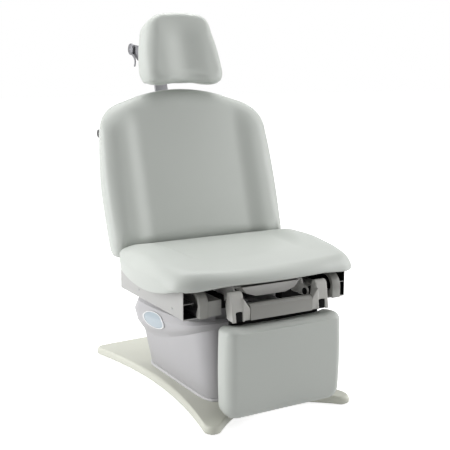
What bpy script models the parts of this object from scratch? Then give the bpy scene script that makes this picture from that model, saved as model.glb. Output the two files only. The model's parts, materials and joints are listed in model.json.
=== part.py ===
"""Power procedure table: seat, back, leg section and headrest on a telescopic lift column.

Metres, +Z up. The patient faces -Y, +X is the table's own left hand, and the origin is on the floor
under the middle of the table. Everything is drawn at its lowest, upright position.
"""
import math

import bmesh
import bpy
from mathutils import Matrix, Vector

for old in list(bpy.data.objects):
    bpy.data.objects.remove(old, do_unlink=True)

# Fits
GAP = 0.0003
RUN_GAP = 0.0005
SIDE_GAP = 0.001
OVERCUT = 0.01

# Floor plate
FOOT_HEIGHT = 0.006
FOOT_RADIUS = 0.016
BASE_THICKNESS = 0.028
BASE_HALF_WIDTH = 0.295
BASE_WAIST = 0.238
BASE_FRONT_Y = -0.508
BASE_REAR_Y = 0.4856
LOBE_RADIUS = 0.030
REAR_BOW = math.radians(5)
BASE_EDGE = 0.010

# Widths and heights that the rest is placed from
SEAT_HALF_WIDTH = 0.368
SEAT_OVERHANG = 0.038
COMPARTMENT = 0.140
FRAME_Z = 0.374
PANEL_HEIGHT = 0.1102
CARRIAGE_DROP = 0.0177
SEAT_FRONT_Y = -0.428
BASE_TOP = FOOT_HEIGHT + BASE_THICKNESS
FLOOR_SEAT = BASE_TOP + GAP
PANEL_X = SEAT_HALF_WIDTH - SEAT_OVERHANG
RAIL_INNER_X = PANEL_X - COMPARTMENT
SEAT_UNDERSIDE = FRAME_Z + PANEL_HEIGHT
CARRIAGE_Z = FRAME_Z - CARRIAGE_DROP

# Column cover: each level's height at its front and rear, half-width, front, rear and corner, as shares
TRIM_HEIGHT = 0.009
TRIM_STEP = 0.006
TRIM_GAP = 0.0007
COVER_WALL = 0.004
COVER_DROP = 0.027
COVER_HALF_WIDTH = 0.243
COVER_FRONT_Y = -0.333
COVER_REAR_Y = 0.251
COVER_CORNER = 0.110
COVER_SHARES = (
    (0.000, 0.000, 0.770, 1.003, 0.785, 0.727),
    (0.350, 0.185, 0.811, 0.997, 0.817, 0.782),
    (0.855, 0.442, 0.872, 0.985, 0.865, 0.855),
    (0.894, 0.564, 0.963, 0.994, 0.964, 0.955),
    (0.917, 0.720, 1.000, 1.000, 1.000, 1.000),
    (0.964, 0.885, 0.951, 0.982, 0.944, 1.000),
    (1.000, 0.983, 0.852, 0.937, 0.837, 0.909),
)
COVER_FOOT = FLOOR_SEAT + TRIM_HEIGHT + TRIM_GAP
COVER_TOP = FRAME_Z - COVER_DROP
COVER_RISE = COVER_TOP - COVER_FOOT
COVER_LEVELS = [
    (
        COVER_FOOT + COVER_RISE * front, COVER_FOOT + COVER_RISE * rear, COVER_HALF_WIDTH * half,
        COVER_FRONT_Y * ahead, COVER_REAR_Y * behind, COVER_CORNER * corner,
    )
    for front, rear, half, ahead, behind, corner in COVER_SHARES
]
SWEEP_REAR_Y = 0.10
SWEEP_EASE = 1.45
PANEL_HALF_WIDTH = 0.140
PANEL_SILL = 0.008
PANEL_HEAD = 0.051
PANEL_BOTTOM_Z = COVER_FOOT + PANEL_SILL
PANEL_TOP_Z = COVER_TOP - PANEL_HEAD
PANEL_SEAM = 0.0008
BADGE_LENGTH = 0.172
BADGE_HEIGHT = 0.062
BADGE_THICKNESS = 0.0025
BADGE_STAND = 0.0015
BADGE_Y = 0.010
BADGE_DROP = 0.090
BADGE_Z = COVER_TOP - BADGE_DROP

# Lift column
LIFT_TRAVEL = 0.40
MAST_Y = -0.070
MAST_HALF_X = 0.080
MAST_HALF_Y = 0.065
MAST_WALL = 0.007
MAST_RADIUS = 0.012
MAST_CLEARANCE = 0.0188
MAST_HEAD = 0.0125
MID_MAST_TOP = CARRIAGE_Z - MAST_CLEARANCE
OUTER_MAST_TOP = MID_MAST_TOP - MAST_HEAD
MAST_STEP = 0.005
SCREW_RADIUS = 0.012
SCREW_DROP = 0.025
SCREW_TOP = OUTER_MAST_TOP - SCREW_DROP
TOP_COVER_INSET = 0.075
TOP_COVER_AHEAD = 0.053
TOP_COVER_BEHIND = 0.086
TOP_COVER_HALF = COVER_HALF_WIDTH - TOP_COVER_INSET
TOP_COVER_FRONT = COVER_FRONT_Y + TOP_COVER_AHEAD
TOP_COVER_REAR = COVER_REAR_Y - TOP_COVER_BEHIND
COVER_NEST = 0.016
INNER_WALL = 0.0035
INNER_RADIUS = 0.060
INNER_COVER_RISE = 0.036
INNER_COVER_FOOT = BASE_TOP + INNER_COVER_RISE
MOTOR_RADIUS = 0.040
MOTOR_HEIGHT = 0.150
MOTOR_Y = 0.065
BOX_HALF_X = 0.100
BOX_DEPTH = 0.075
BOX_HEIGHT = 0.160
INLET_X = 0.080
INLET_HALF = 0.024
INLET_RISE = 0.022
INLET_BOTTOM_Z = COVER_FOOT + INLET_RISE
INLET_HEIGHT = 0.034
INLET_DEPTH = 0.024
INLET_SOCKET = 0.012
INLET_RIM = 0.004

# Seat frame
SHEET = 0.0025
PANEL_SETBACK = 0.031
PANEL_FRONT_Y = SEAT_FRONT_Y + PANEL_SETBACK
PANEL_REAR_Y = 0.102
TRAY_SETBACK = 0.002
TRAY_INNER_X = RAIL_INNER_X + TRAY_SETBACK
SHELF_RISE = 0.051
SHELF_Z = FRAME_Z + SHELF_RISE
SHELF_CLEARANCE = 0.0035
RAIL_WIDTH = 0.050
RAIL_HEIGHT = 0.051
RAIL_WALL = 0.004
RAIL_SETBACK = 0.008
RAIL_FRONT_Y = PANEL_FRONT_Y - RAIL_SETBACK
RAIL_REAR_Y = PANEL_REAR_Y - RAIL_SETBACK
CARRIAGE_THICKNESS = 0.010
CARRIAGE_INSET = 0.025
CARRIAGE_AHEAD = 0.100
CARRIAGE_BEHIND = 0.120
CARRIAGE_HALF_X = RAIL_INNER_X - CARRIAGE_INSET
CARRIAGE_FRONT_Y = MAST_Y - CARRIAGE_AHEAD
CARRIAGE_REAR_Y = MAST_Y + CARRIAGE_BEHIND
FRONT_BEAM_AHEAD = 0.060
REAR_BEAM_BEHIND = 0.070
REAR_BEAM_RISE = 0.026
BEAM_CLEARANCE = 0.0017
FRONT_BEAM_Y = MAST_Y - FRONT_BEAM_AHEAD
REAR_BEAM_Y = MAST_Y + REAR_BEAM_BEHIND
REAR_BEAM_TOP = FRAME_Z + REAR_BEAM_RISE
BEAM_DEPTH = 0.040
TIE_SETBACK = 0.057
TIE_Y = PANEL_FRONT_Y + TIE_SETBACK
TIE_DEPTH = 0.040
TIE_RISE = 0.030
TIE_Z = FRAME_Z + TIE_RISE
TIE_HEIGHT = 0.0185
TIE_FOOT = 0.028
TIE_FOOT_X = 0.095

# Seat cushion
SEAT_FRONT_CROWN = 0.070
SEAT_FRONT_PEAK = SEAT_FRONT_Y - SEAT_FRONT_CROWN
SEAT_FRONT_ROUND = 0.230
SEAT_CORNER = 0.105
SEAT_SIDE_BOW = 0.010
SEAM_Y = 0.035
SEAM_GAP = 0.006
SEAT_REAR_Y = SEAM_Y - SEAM_GAP
SEAT_THICKNESS = 0.0638
SEAT_TOP_Z = SEAT_UNDERSIDE + SEAT_THICKNESS
SEAT_BOLSTER = 0.013
SEAT_WATERFALL = 0.024
SEAT_SKIRT = 0.036
SEAT_SKIRT_DROP = 0.043
SEAT_BOARD = 0.013
SEAT_EDGE = 0.034
SEAT_TUCK = 0.004
BOARD_MARGIN = 0.002

# Leg section
LEG_SETBACK = 0.003
LEG_RISE = 0.046
LEG_PIVOT_Y = SEAT_FRONT_Y + LEG_SETBACK
LEG_PIVOT_Z = FRAME_Z + LEG_RISE
LEG_RAISE = math.radians(90)
LEG_BRACKET_INSET = 0.054
LEG_BRACKET_LENGTH = 0.235
LEG_BRACKET_X = RAIL_INNER_X - LEG_BRACKET_INSET
LEG_BRACKET_THICKNESS = 0.006
LEG_BRACKET_FRONT_Y = RAIL_FRONT_Y
LEG_BRACKET_REAR_Y = LEG_BRACKET_FRONT_Y + LEG_BRACKET_LENGTH
LEG_BRACKET_FOOT_Z = TIE_Z
LEG_EAR_RADIUS = 0.016
PIN_RADIUS = 0.007
PIN_HEAD_RADIUS = 0.012
PIN_HEAD = 0.004
PIN_COLLAR_RADIUS = 0.009
STRAP_CLEARANCE = 0.0135
STRAP_X = LEG_BRACKET_X + LEG_BRACKET_THICKNESS + STRAP_CLEARANCE
STRAP_WIDTH = 0.022
STRAP_THICKNESS = 0.014
STRAP_EYE = 0.016
ARM_CLEARANCE = 0.005
ARM_WIDTH = 0.047
ARM_REACH = 0.062
ARM_SETBACK = 0.011
ARM_RISE = 0.046
ARM_DROP = 0.054
ARM_INNER_X = LEG_BRACKET_X + LEG_BRACKET_THICKNESS + ARM_CLEARANCE
ARM_OUTER_X = ARM_INNER_X + ARM_WIDTH
ARM_FRONT_Y = LEG_PIVOT_Y - ARM_REACH
ARM_TOP_Z = LEG_PIVOT_Z + ARM_RISE
ARM_FOOT_Z = LEG_PIVOT_Z - ARM_DROP
ARM_REAR_Y = LEG_PIVOT_Y - ARM_SETBACK
NOTCH_HEIGHT = 0.034
TONGUE_RISE = 0.002
TONGUE_SETBACK = 0.004
STRAP_TIE = 0.036
NOTCH_TOP_Z = ARM_FOOT_Z + NOTCH_HEIGHT
TONGUE_BOTTOM_Z = ARM_FOOT_Z + TONGUE_RISE
TONGUE_TOP_Z = NOTCH_TOP_Z - SIDE_GAP
BAR_DEPTH = 0.032
BAR_RISE = 0.002
YOKE_BAR_HEIGHT = 0.051
BAR_REAR_Y = ARM_FRONT_Y + BAR_DEPTH
BAR_FOOT_Z = ARM_FOOT_Z + BAR_RISE
BAR_TOP_Z = BAR_FOOT_Z + YOKE_BAR_HEIGHT
FAIRING = 0.023
FAIRING_X = ARM_INNER_X - FAIRING
LEG_CRANK = 0.052
CRANK_X = -0.060
CRANK_THICKNESS = 0.010
CRANK_EYE = 0.012
PAD_HALF_WIDTH = 0.232
PAD_FLOOR_CLEARANCE = 0.015
PAD_CLEARANCE = 0.005
PAD_REACH = 0.105
STRAP_SHORT = 0.071
PAD_FOOT_Z = BASE_TOP + PAD_FLOOR_CLEARANCE
STRAP_FOOT_Z = PAD_FOOT_Z + STRAP_SHORT
PAD_TOP_Z = ARM_FOOT_Z - PAD_CLEARANCE
PAD_FRONT_Y = LEG_PIVOT_Y - PAD_REACH
PAD_THICKNESS = 0.086
PAD_CROWN = 0.006
PAD_EDGE = 0.032
PAD_SKIRT = 0.028
PAD_TUCK = 0.005
PAD_BOARD = 0.012

# Pan and its runners
PAN_SIDE_CLEARANCE = 0.018
PAN_TAPER = 0.058
PAN_AHEAD = 0.011
PAN_SHORT = 0.010
PAN_CLEARANCE = 0.004
PAN_DEPTH = 0.0355
PAN_HALF_TOP = LEG_BRACKET_X - PAN_SIDE_CLEARANCE
PAN_HALF_FLOOR = PAN_HALF_TOP - PAN_TAPER
PAN_FRONT_Y = LEG_BRACKET_FRONT_Y - PAN_AHEAD
PAN_REAR_Y = LEG_BRACKET_REAR_Y - PAN_SHORT
PAN_FLOOR_Z = TIE_Z + TIE_HEIGHT + PAN_CLEARANCE
PAN_RIM_Z = PAN_FLOOR_Z + PAN_DEPTH
PAN_WALL = 0.002
PAN_RIM = 0.010
RUNNER_HEIGHT = 0.003
RUNNER_SETBACK = 0.016

# Stirrups
STIRRUP_CLEARANCE = 0.012
STIRRUP_AHEAD = 0.033
STIRRUP_RISE = 0.0035
STIRRUP_HEAD = 0.0142
STIRRUP_STRAIGHT = 0.038
STIRRUP_INNER_X = RAIL_INNER_X + RAIL_WIDTH + STIRRUP_CLEARANCE
STIRRUP_WIDTH = 0.034
STIRRUP_FRONT_Y = PANEL_FRONT_Y - STIRRUP_AHEAD
STIRRUP_FOOT_Z = FRAME_Z + SHEET + STIRRUP_RISE
STIRRUP_TOP_Z = SEAT_UNDERSIDE - STIRRUP_HEAD
STIRRUP_BEND_Z = STIRRUP_FOOT_Z + STIRRUP_STRAIGHT
STIRRUP_REACH = 0.056
STIRRUP_BAND = 0.013
STIRRUP_SKIN = 0.0035
LUG_SETBACK = 0.015
LUG_RADIUS = 0.0105
STIRRUP_BAR_LENGTH = 0.365
STIRRUP_PIVOT_Y = STIRRUP_FRONT_Y + LUG_SETBACK
STIRRUP_PIVOT_Z = STIRRUP_FOOT_Z + LUG_RADIUS
STIRRUP_PIN = 0.004
STIRRUP_LUG = 0.008
BAR_EYE = 0.0085
BAR_REAR_END_Y = STIRRUP_PIVOT_Y + STIRRUP_BAR_LENGTH
BAR_HEIGHT = 0.022

# Back: lean, seam with the seat, and the hinge behind and under that seam
BACK_LEAN = math.radians(17)
RECLINE = math.radians(73)
SEAM_RISE = 0.002
SEAM_Z = SEAT_TOP_Z + SEAM_RISE
HINGE_DEPTH = 0.060
HINGE_DROP = 0.0444
BACK_FOOT = -0.020
BACK_INSET = 0.004
BACK_TAPER = 0.006
BACK_HALF_WIDTH = SEAT_HALF_WIDTH - BACK_INSET
BACK_TOP_HALF_WIDTH = BACK_HALF_WIDTH - BACK_TAPER
BACK_SHOULDER = 0.505
BACK_CROWN = 0.120
BACK_PEAK = BACK_SHOULDER + BACK_CROWN
BACK_PEAK_ROUND = 0.230
BACK_CORNER = 0.120
BACK_FOOT_CORNER = 0.064
BACK_THICKNESS = 0.090
BACK_DISH = 0.016
BACK_EDGE = 0.034
BACK_SKIRT = 0.038
BACK_TUCK = 0.006
BACK_BOARD = 0.013
SHAFT_RADIUS = 0.014
SHAFT_END_RADIUS = 0.0115
EYE_RADIUS = 0.018
BACK_ARM_INSET = 0.006
BACK_ARM_SHORT = 0.145
BACK_ARM_DROP = 0.004
BACK_ARM_X = RAIL_INNER_X + BACK_ARM_INSET
BACK_ARM_THICKNESS = 0.008
BACK_ARM_DEPTH = 0.012
BACK_ARM_TOP = BACK_SHOULDER - BACK_ARM_SHORT
BACK_CRANK = 0.070
BACK_CRANK_INSET = 0.024
BACK_CRANK_X = RAIL_INNER_X - BACK_CRANK_INSET
SHELL_MARGIN = 0.050
SHELL_FOOT = 0.045
SHELL_DEPTH = 0.052
SHELL_WALL = 0.004
NOTCH_HALF = 0.05
SHELL_EDGE = 0.022

# Actuators
ACTUATOR_END = 0.008
ACTUATOR_RADIUS = 0.014
ROD_RADIUS = 0.008
FORK_CHEEK = 0.005
FORK_REACH = 0.038
BACK_ACTUATOR_LENGTH = 0.185
BACK_ROD_INNER = 0.085
LEG_ACTUATOR_LENGTH = 0.150
LEG_ROD_INNER = 0.130

# Headrest, measured up the back and behind its front plane
GLIDE_HALF_WIDTH = 0.0275
GLIDE_THICKNESS = 0.010
GLIDE_STANDOFF = 0.0597
GLIDE_TAIL = 0.070
LINK_RISE = 0.065
HEAD_PIVOT_RISE = 0.136
HEAD_STEM_REACH = 0.055
KNUCKLE_RADIUS = 0.014
HEAD_PIN_RADIUS = 0.006
CHEEK_X = 0.066
CHEEK_THICKNESS = 0.007
CHEEK_RADIUS = 0.017
SOCKET_LENGTH = 0.160
SOCKET_HALF_WIDTH = 0.040
SOCKET_COVER = 0.009
HUB_X = -0.095
HUB_THICKNESS = 0.016
HUB_RADIUS = 0.023
LEVER_LENGTH = 0.078
LEVER_WIDTH = 0.012
LEVER_SWEEP = 0.020
HEAD_SINK = 0.026
HEAD_HEIGHT = 0.263
HEAD_HALF_FOOT = 0.172
HEAD_HALF_TOP = 0.128
HEAD_FRONT = -0.050
HEAD_THICKNESS = 0.100
HEAD_DISH = 0.015
HEAD_VALLEY = 0.098
HEAD_FOOT_CORNER = 0.074
HEAD_TOP_CORNER = 0.084
HEAD_EDGE = 0.036
HEAD_SKIRT = 0.034
HEAD_TUCK = 0.004
HEAD_PLATE = 0.005
HEAD_STEM_HALF = 0.022
HEAD_STEM = 0.014

# Paper rod behind the back
PAPER_DROP = 0.035
PAPER_REACH = 0.1067
PAPER_ROD_RADIUS = 0.008
PAPER_INSET = 0.084
PAPER_BRACKET = 0.007
PAPER_BRACKET_RADIUS = 0.016
PAPER_FLANGE = 0.004
PAPER_FLANGE_DROP = 0.05
PAPER_FLANGE_HEIGHT = 0.04
PAPER_FLANGE_WIDTH = 0.05
PAPER_BRACKET_LIP = 0.003

# Sizes that follow from those above
TRAY_TOP = FRAME_Z + SHEET
RAIL_Z = TRAY_TOP + GAP
CARRIAGE_TOP = CARRIAGE_Z + CARRIAGE_THICKNESS
CUSHION_SEAT = SEAT_UNDERSIDE + GAP
STRAP_REAR_Y = PAD_FRONT_Y + PAD_THICKNESS + GAP + STRAP_THICKNESS
LEG_CRANK_Y = LEG_CRANK * math.sin(LEG_RAISE / 2)
LEG_CRANK_Z = LEG_CRANK * math.cos(LEG_RAISE / 2)
BACK_CRANK_Y = BACK_CRANK * math.sin(RECLINE / 2)
BACK_CRANK_Z = BACK_CRANK * math.cos(RECLINE / 2)
SHELL_FRONT = BACK_THICKNESS + GAP
SHELL_REAR = SHELL_FRONT + SHELL_DEPTH
HEAD_REAR = HEAD_FRONT + HEAD_THICKNESS
HEAD_FOOT = BACK_PEAK - HEAD_SINK
HEAD_TOP = HEAD_FOOT + HEAD_HEIGHT
HEAD_PIVOT_UP = HEAD_FOOT + HEAD_PIVOT_RISE
HEAD_PIVOT_DEPTH = HEAD_REAR + HEAD_STEM_REACH
BAR_PIVOT_UP = HEAD_PIVOT_UP + LINK_RISE
GLIDE_DEPTH = SHELL_REAR + GLIDE_STANDOFF
SOCKET_TOP = BACK_ARM_TOP
SOCKET_FOOT = SOCKET_TOP - SOCKET_LENGTH
GLIDE_FOOT = SOCKET_FOOT - GLIDE_TAIL
PAPER_ROD_UP = BACK_SHOULDER - PAPER_DROP
PAPER_ROD_DEPTH = SHELL_REAR + PAPER_REACH
PAPER_ROD_HALF = BACK_TOP_HALF_WIDTH - PAPER_INSET

# Spaces that pieces are drawn in: the table's own, and the back's, whose y is depth and z is up the slope
CENTRED = -(PAD_FRONT_Y + BASE_REAR_Y) / 2
TABLE = Matrix.Translation((0, CENTRED, 0))
LEANING = Matrix.Translation((0, SEAM_Y, SEAM_Z)) @ Matrix.Rotation(-BACK_LEAN, 4, "X")
BACK = TABLE @ LEANING
HINGE = LEANING @ Vector((0, HINGE_DEPTH, -HINGE_DROP))
FRONT_BEAM_TOP = HINGE.z - BACK_CRANK_Z - ACTUATOR_RADIUS - BEAM_CLEARANCE

frames = {}
finishes = {}


def frame(name, point, parent=None, space=TABLE):
    """An empty on a joint's axis, which the pieces of that body hang from."""
    empty = bpy.data.objects.new(name, None)
    bpy.context.collection.objects.link(empty)
    world = Matrix.Translation(space @ Vector(point)) @ space.to_3x3().to_4x4()
    start = Matrix.Identity(4)
    if parent:
        empty.parent = frames[parent][0]
        start = frames[parent][1]
    empty.matrix_basis = start.inverted() @ world
    frames[name] = (empty, world)


def finish(name, colour, roughness, metallic=0.0):
    """A plain Principled material for one kind of surface."""
    material = bpy.data.materials.new(name)
    material.use_nodes = True
    shader = material.node_tree.nodes["Principled BSDF"]
    shader.inputs["Base Color"].default_value = (*colour, 1.0)
    shader.inputs["Roughness"].default_value = roughness
    shader.inputs["Metallic"].default_value = metallic
    finishes[name] = material


def thing(name, bm, body, space):
    """An object for a mesh drawn in a space, hung from its body's frame."""
    empty, world = frames[body]
    bm.transform(world.inverted() @ space)
    mesh = bpy.data.meshes.new(name)
    bm.to_mesh(mesh)
    bm.free()
    mesh.shade_smooth()
    mesh.set_sharp_from_angle(angle=math.radians(35))
    item = bpy.data.objects.new(name, mesh)
    bpy.context.collection.objects.link(item)
    item.parent = empty
    return item


def piece(name, bm, look, body, space=TABLE, cuts=(), adds=()):
    """One sub-part: a mesh, with meshes cut from it or welded to it."""
    item = thing(name, bm, body, space)
    item.data.materials.append(finishes[look])
    tools = [("UNION", add) for add in adds] + [("DIFFERENCE", cut) for cut in cuts]
    for number, (operation, tool) in enumerate(tools):
        guide = thing(f"{name}_tool_{number}", tool, body, space)
        guide.hide_render = True
        guide.display_type = "WIRE"
        step = item.modifiers.new(f"{operation.title()} {number}", "BOOLEAN")
        step.operation = operation
        step.solver = "EXACT"
        step.object = guide
    return item


def skin(rings, loop=False, tip=None):
    """A closed mesh through rings of points: looped, or capped, with an optional raised tip."""
    bm = bmesh.new()
    rows = [[bm.verts.new(point) for point in ring] for ring in rings]
    count = len(rows[0])
    for low, high in zip(rows, rows[1:] + rows[:1] if loop else rows[1:]):
        for i in range(count):
            j = (i + 1) % count
            bm.faces.new((low[i], low[j], high[j], high[i]))
    if not loop:
        bm.faces.new(rows[0])
        if tip is None:
            bm.faces.new(rows[-1])
        else:
            top = bm.verts.new(tip)
            for i in range(count):
                bm.faces.new((rows[-1][i], rows[-1][(i + 1) % count], top))
    bmesh.ops.recalc_face_normals(bm, faces=bm.faces)
    return bm


def prism(outline, axis, low, high):
    """A flat outline drawn across one axis and extruded along it."""
    place = {
        "x": lambda u, v, w: (w, u, v),
        "y": lambda u, v, w: (u, w, v),
        "z": lambda u, v, w: (u, v, w),
    }[axis]
    return skin([[place(u, v, w) for u, v in outline] for w in (low, high)])


def block(x, y, z):
    """A plain box between two values on each axis."""
    return prism([(x[0], y[0]), (x[1], y[0]), (x[1], y[1]), (x[0], y[1])], "z", *z)


def circle(centre, radius, count=20):
    """Points round a circle."""
    turns = [2 * math.pi * i / count for i in range(count)]
    return [(centre[0] + radius * math.cos(a), centre[1] + radius * math.sin(a)) for a in turns]


def rod(axis, centre, stations, count=20):
    """A turned piece along an axis, as stations of place and radius."""
    place = {
        "x": lambda u, v, w: (w, u, v),
        "y": lambda u, v, w: (u, w, v),
        "z": lambda u, v, w: (u, v, w),
    }[axis]
    return skin([[place(u, v, w) for u, v in circle(centre, r, count)] for w, r in stations])


def drill(axis, centre, span, radius, count=20):
    """The cutter of a hole through a span, run past both of its faces."""
    low, high = span
    return rod(axis, centre, [(low - OVERCUT, radius), (high + OVERCUT, radius)], count)


def hull(points):
    """The convex outline round some points, for plates that run from eye to eye."""
    points = sorted(set((round(u, 7), round(v, 7)) for u, v in points))
    sides = []
    for order in (points, points[::-1]):
        side = []
        for p in order:
            while len(side) > 1:
                a, b = side[-2:]
                if (b[0] - a[0]) * (p[1] - a[1]) - (b[1] - a[1]) * (p[0] - a[0]) > 0:
                    break
                side.pop()
            side.append(p)
        sides.append(side[:-1])
    return sides[0] + sides[1]


def curve(start, control, end, steps):
    """Points along a quadratic curve, without its last one."""
    shares = [i / steps for i in range(steps)]
    return [start * (1 - t) ** 2 + control * 2 * t * (1 - t) + end * t * t for t in shares]


def spaced(path, count):
    """Points spread evenly by length along a closed path."""
    loop = path + path[:1]
    runs = [(b - a).length for a, b in zip(loop, loop[1:])]
    step = sum(runs) / count
    points, travelled, at = [], 0.0, 0
    for i in range(count):
        while travelled + runs[at] < i * step:
            travelled += runs[at]
            at += 1
        share = (i * step - travelled) / runs[at]
        points.append(loop[at].lerp(loop[at + 1], share))
    return points


def rounded(corners, count):
    """An outline from corners (u, v, radius, bow of the edge after it), turning left."""
    total = len(corners)
    turns, edges = [], []
    for i, (u, v, radius, bow) in enumerate(corners):
        here = Vector((u, v))
        before = Vector(corners[i - 1][:2])
        after = Vector(corners[(i + 1) % total][:2])
        run = (after - here).normalized()
        start = here + (before - here).normalized() * radius
        end = here + run * radius
        stop = after - run * corners[(i + 1) % total][2]
        turns.append(curve(start, here, end, 8))
        outward = Vector((run.y, -run.x))
        shares = [k / 24 for k in range(24)]
        edges.append([end.lerp(stop, t) + outward * bow * 4 * t * (1 - t) for t in shares])
    half = len(edges[-1]) // 2
    path = edges[-1][half:]
    for turn, edge in zip(turns, edges):
        path = path + turn + edge
    return spaced(path[:-half], count)


def drawn_in(outline, centre, distance):
    """An outline moved towards its centre by a distance, or away from it by a negative one."""
    return [p + (centre - p).normalized() * distance for p in outline]


def step(low, high, value):
    """A smooth step from 0 at low to 1 at high."""
    t = min(max((value - low) / (high - low), 0.0), 1.0)
    return t * t * (3 - 2 * t)


def padding(outline, centre, front, rim, ceiling, out, edge, skirt, tuck, place):
    """A cushion: a crowned front, rounded edges, and a pocket behind for its board."""
    lip = 0.003
    rings = [
        [place(*p, ceiling) for p in drawn_in(outline, centre, skirt)],
        [place(*p, rim(*centre)) for p in drawn_in(outline, centre, skirt)],
        [place(*p, rim(*centre)) for p in drawn_in(outline, centre, skirt / 2)],
        [place(*p, rim(*p)) for p in drawn_in(outline, centre, tuck + lip)],
        [place(*p, rim(*p) + out * lip) for p in drawn_in(outline, centre, tuck)],
    ]
    for angle in (0, 24, 48, 70, 90):
        turn = math.radians(angle)
        ring = drawn_in(outline, centre, edge * (1 - math.cos(turn)))
        rings.append([place(*p, front(*p) - out * edge * (1 - math.sin(turn))) for p in ring])
    inner = drawn_in(outline, centre, edge)
    for share in (0.86, 0.72, 0.56, 0.36, 0.16):
        ring = [centre.lerp(p, share) for p in inner]
        rings.append([place(*p, front(*p)) for p in ring])
    return skin(rings, tip=place(*centre, front(*centre)))


def rounded_box(half, front, rear, radius, count):
    """A plan outline, symmetric about X, with rounded corners."""
    corners = [(half, front), (half, rear), (-half, rear), (-half, front)]
    return rounded([(u, v, radius, 0) for u, v in corners], count)


def on_side(side, low, high):
    """A span across X on one side of the table: side is 1 or -1."""
    return sorted((side * low, side * high))


def base_outline():
    """Four rounded lobes joined by hollow edges."""
    x = BASE_HALF_WIDTH - LOBE_RADIUS
    front = Vector((x, BASE_FRONT_Y + LOBE_RADIUS))
    turn = math.pi / 2 - REAR_BOW
    end_x = x + LOBE_RADIUS * math.cos(turn)
    rise = end_x * math.tan(REAR_BOW)
    rear = Vector((x, BASE_REAR_Y - rise / 2 - LOBE_RADIUS * math.sin(turn)))

    def lobe(centre, start, end):
        angles = [math.radians(start + (end - start) * i / 10) for i in range(11)]
        return [centre + Vector((math.cos(a), math.sin(a))) * LOBE_RADIUS for a in angles]

    def hollow(start, control, end):
        return curve(start, control, end, 14)[1:]

    front_right = lobe(front, -135, 12)
    rear_right = lobe(rear, -12, math.degrees(turn))
    rear_left = [Vector((-p.x, p.y)) for p in rear_right[::-1]]
    front_left = [Vector((-p.x, p.y)) for p in front_right[::-1]]
    pull = 2 * BASE_WAIST - (front_right[-1].x + rear_right[0].x) / 2
    right = hollow(front_right[-1], Vector((pull, 0)), rear_right[0])
    left = [Vector((-p.x, p.y)) for p in right[::-1]]
    back = hollow(rear_right[-1], Vector((0, rear_right[-1].y + rise)), rear_left[0])
    ahead = hollow(front_left[-1], Vector((0, front_left[-1].y - front_left[-1].x)), front_right[0])
    return front_right + right + rear_right + back + rear_left + left + front_left + ahead


def swept(y):
    """How far the cover's levels have risen on the way from rear to front."""
    share = (SWEEP_REAR_Y - y) / (SWEEP_REAR_Y - COVER_LEVELS[0][3])
    return min(max(share, 0.0), 1.0) ** SWEEP_EASE


def cover_ring(level, inset, count=48):
    """One level of the column cover, its height swept from front to rear."""
    front_z, rear_z, half, front, rear, radius = level
    outline = rounded_box(half - inset, front + inset, rear - inset, radius - inset, count)
    return [(p.x, p.y, rear_z + (front_z - rear_z) * swept(p.y)) for p in outline]


def cover_shell():
    """The column cover before its openings are cut: outer levels up, inner levels down."""
    outer = [cover_ring(level, 0) for level in COVER_LEVELS]
    inner = [cover_ring(level, COVER_WALL) for level in COVER_LEVELS[::-1]]
    return skin(outer + inner, loop=True)


def cap(half, front, rear, radius, foot, top, hole_half_x, hole_half_y):
    """An inner column cover: walls, and a top plate with a hole for the mast."""
    wall = INNER_WALL
    count = 32

    def at(outline, z):
        return [(p.x, p.y, z) for p in outline]

    outer = rounded_box(half, front, rear, radius, count)
    inner = rounded_box(half - wall, front + wall, rear - wall, radius - wall, count)
    hole = rounded_box(hole_half_x, MAST_Y - hole_half_y, MAST_Y + hole_half_y, MAST_RADIUS, count)
    rings = [at(outer, foot), at(outer, top), at(hole, top), at(hole, top - wall), at(inner, top - wall)]
    return skin(rings + [at(inner, foot)], loop=True)


def mast(stage, foot, top):
    """One square tube of the lift column, nested in the stage outside it."""
    inset = stage * (MAST_WALL + RUN_GAP)

    def ring(extra, z):
        half = MAST_HALF_Y - inset - extra
        wide = MAST_HALF_X - inset - extra
        outline = rounded_box(wide, MAST_Y - half, MAST_Y + half, MAST_RADIUS - extra, 24)
        return [(p.x, p.y, z) for p in outline]

    return skin([ring(0, foot), ring(0, top), ring(MAST_WALL, top), ring(MAST_WALL, foot)], loop=True)


def badge():
    """An oval plate that follows the left shoulder of the column cover."""
    levels = COVER_LEVELS

    def surface(y, z):
        for low, high in zip(levels, levels[1:]):
            share = swept(y)
            foot = low[1] + (low[0] - low[1]) * share
            head = high[1] + (high[0] - high[1]) * share
            if foot <= z <= head:
                return low[2] + (high[2] - low[2]) * (z - foot) / (head - foot)
        return levels[-1][2]

    def ring(scale, offset):
        points = circle((0, 0), scale / 2, 28)
        plan = [(BADGE_Y + BADGE_LENGTH * u, BADGE_Z + BADGE_HEIGHT * v) for u, v in points]
        return [(-surface(y, z) - offset, y, z) for y, z in plan]

    face = BADGE_STAND + BADGE_THICKNESS
    shares = (0.1, 0.3, 0.5, 0.65, 0.8, 0.94)
    rings = [ring(share, BADGE_STAND) for share in shares + (1.0,)]
    rings += [ring(1.0, face - BADGE_THICKNESS / 3)]
    return skin(rings + [ring(share, face) for share in shares[::-1]])


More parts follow.
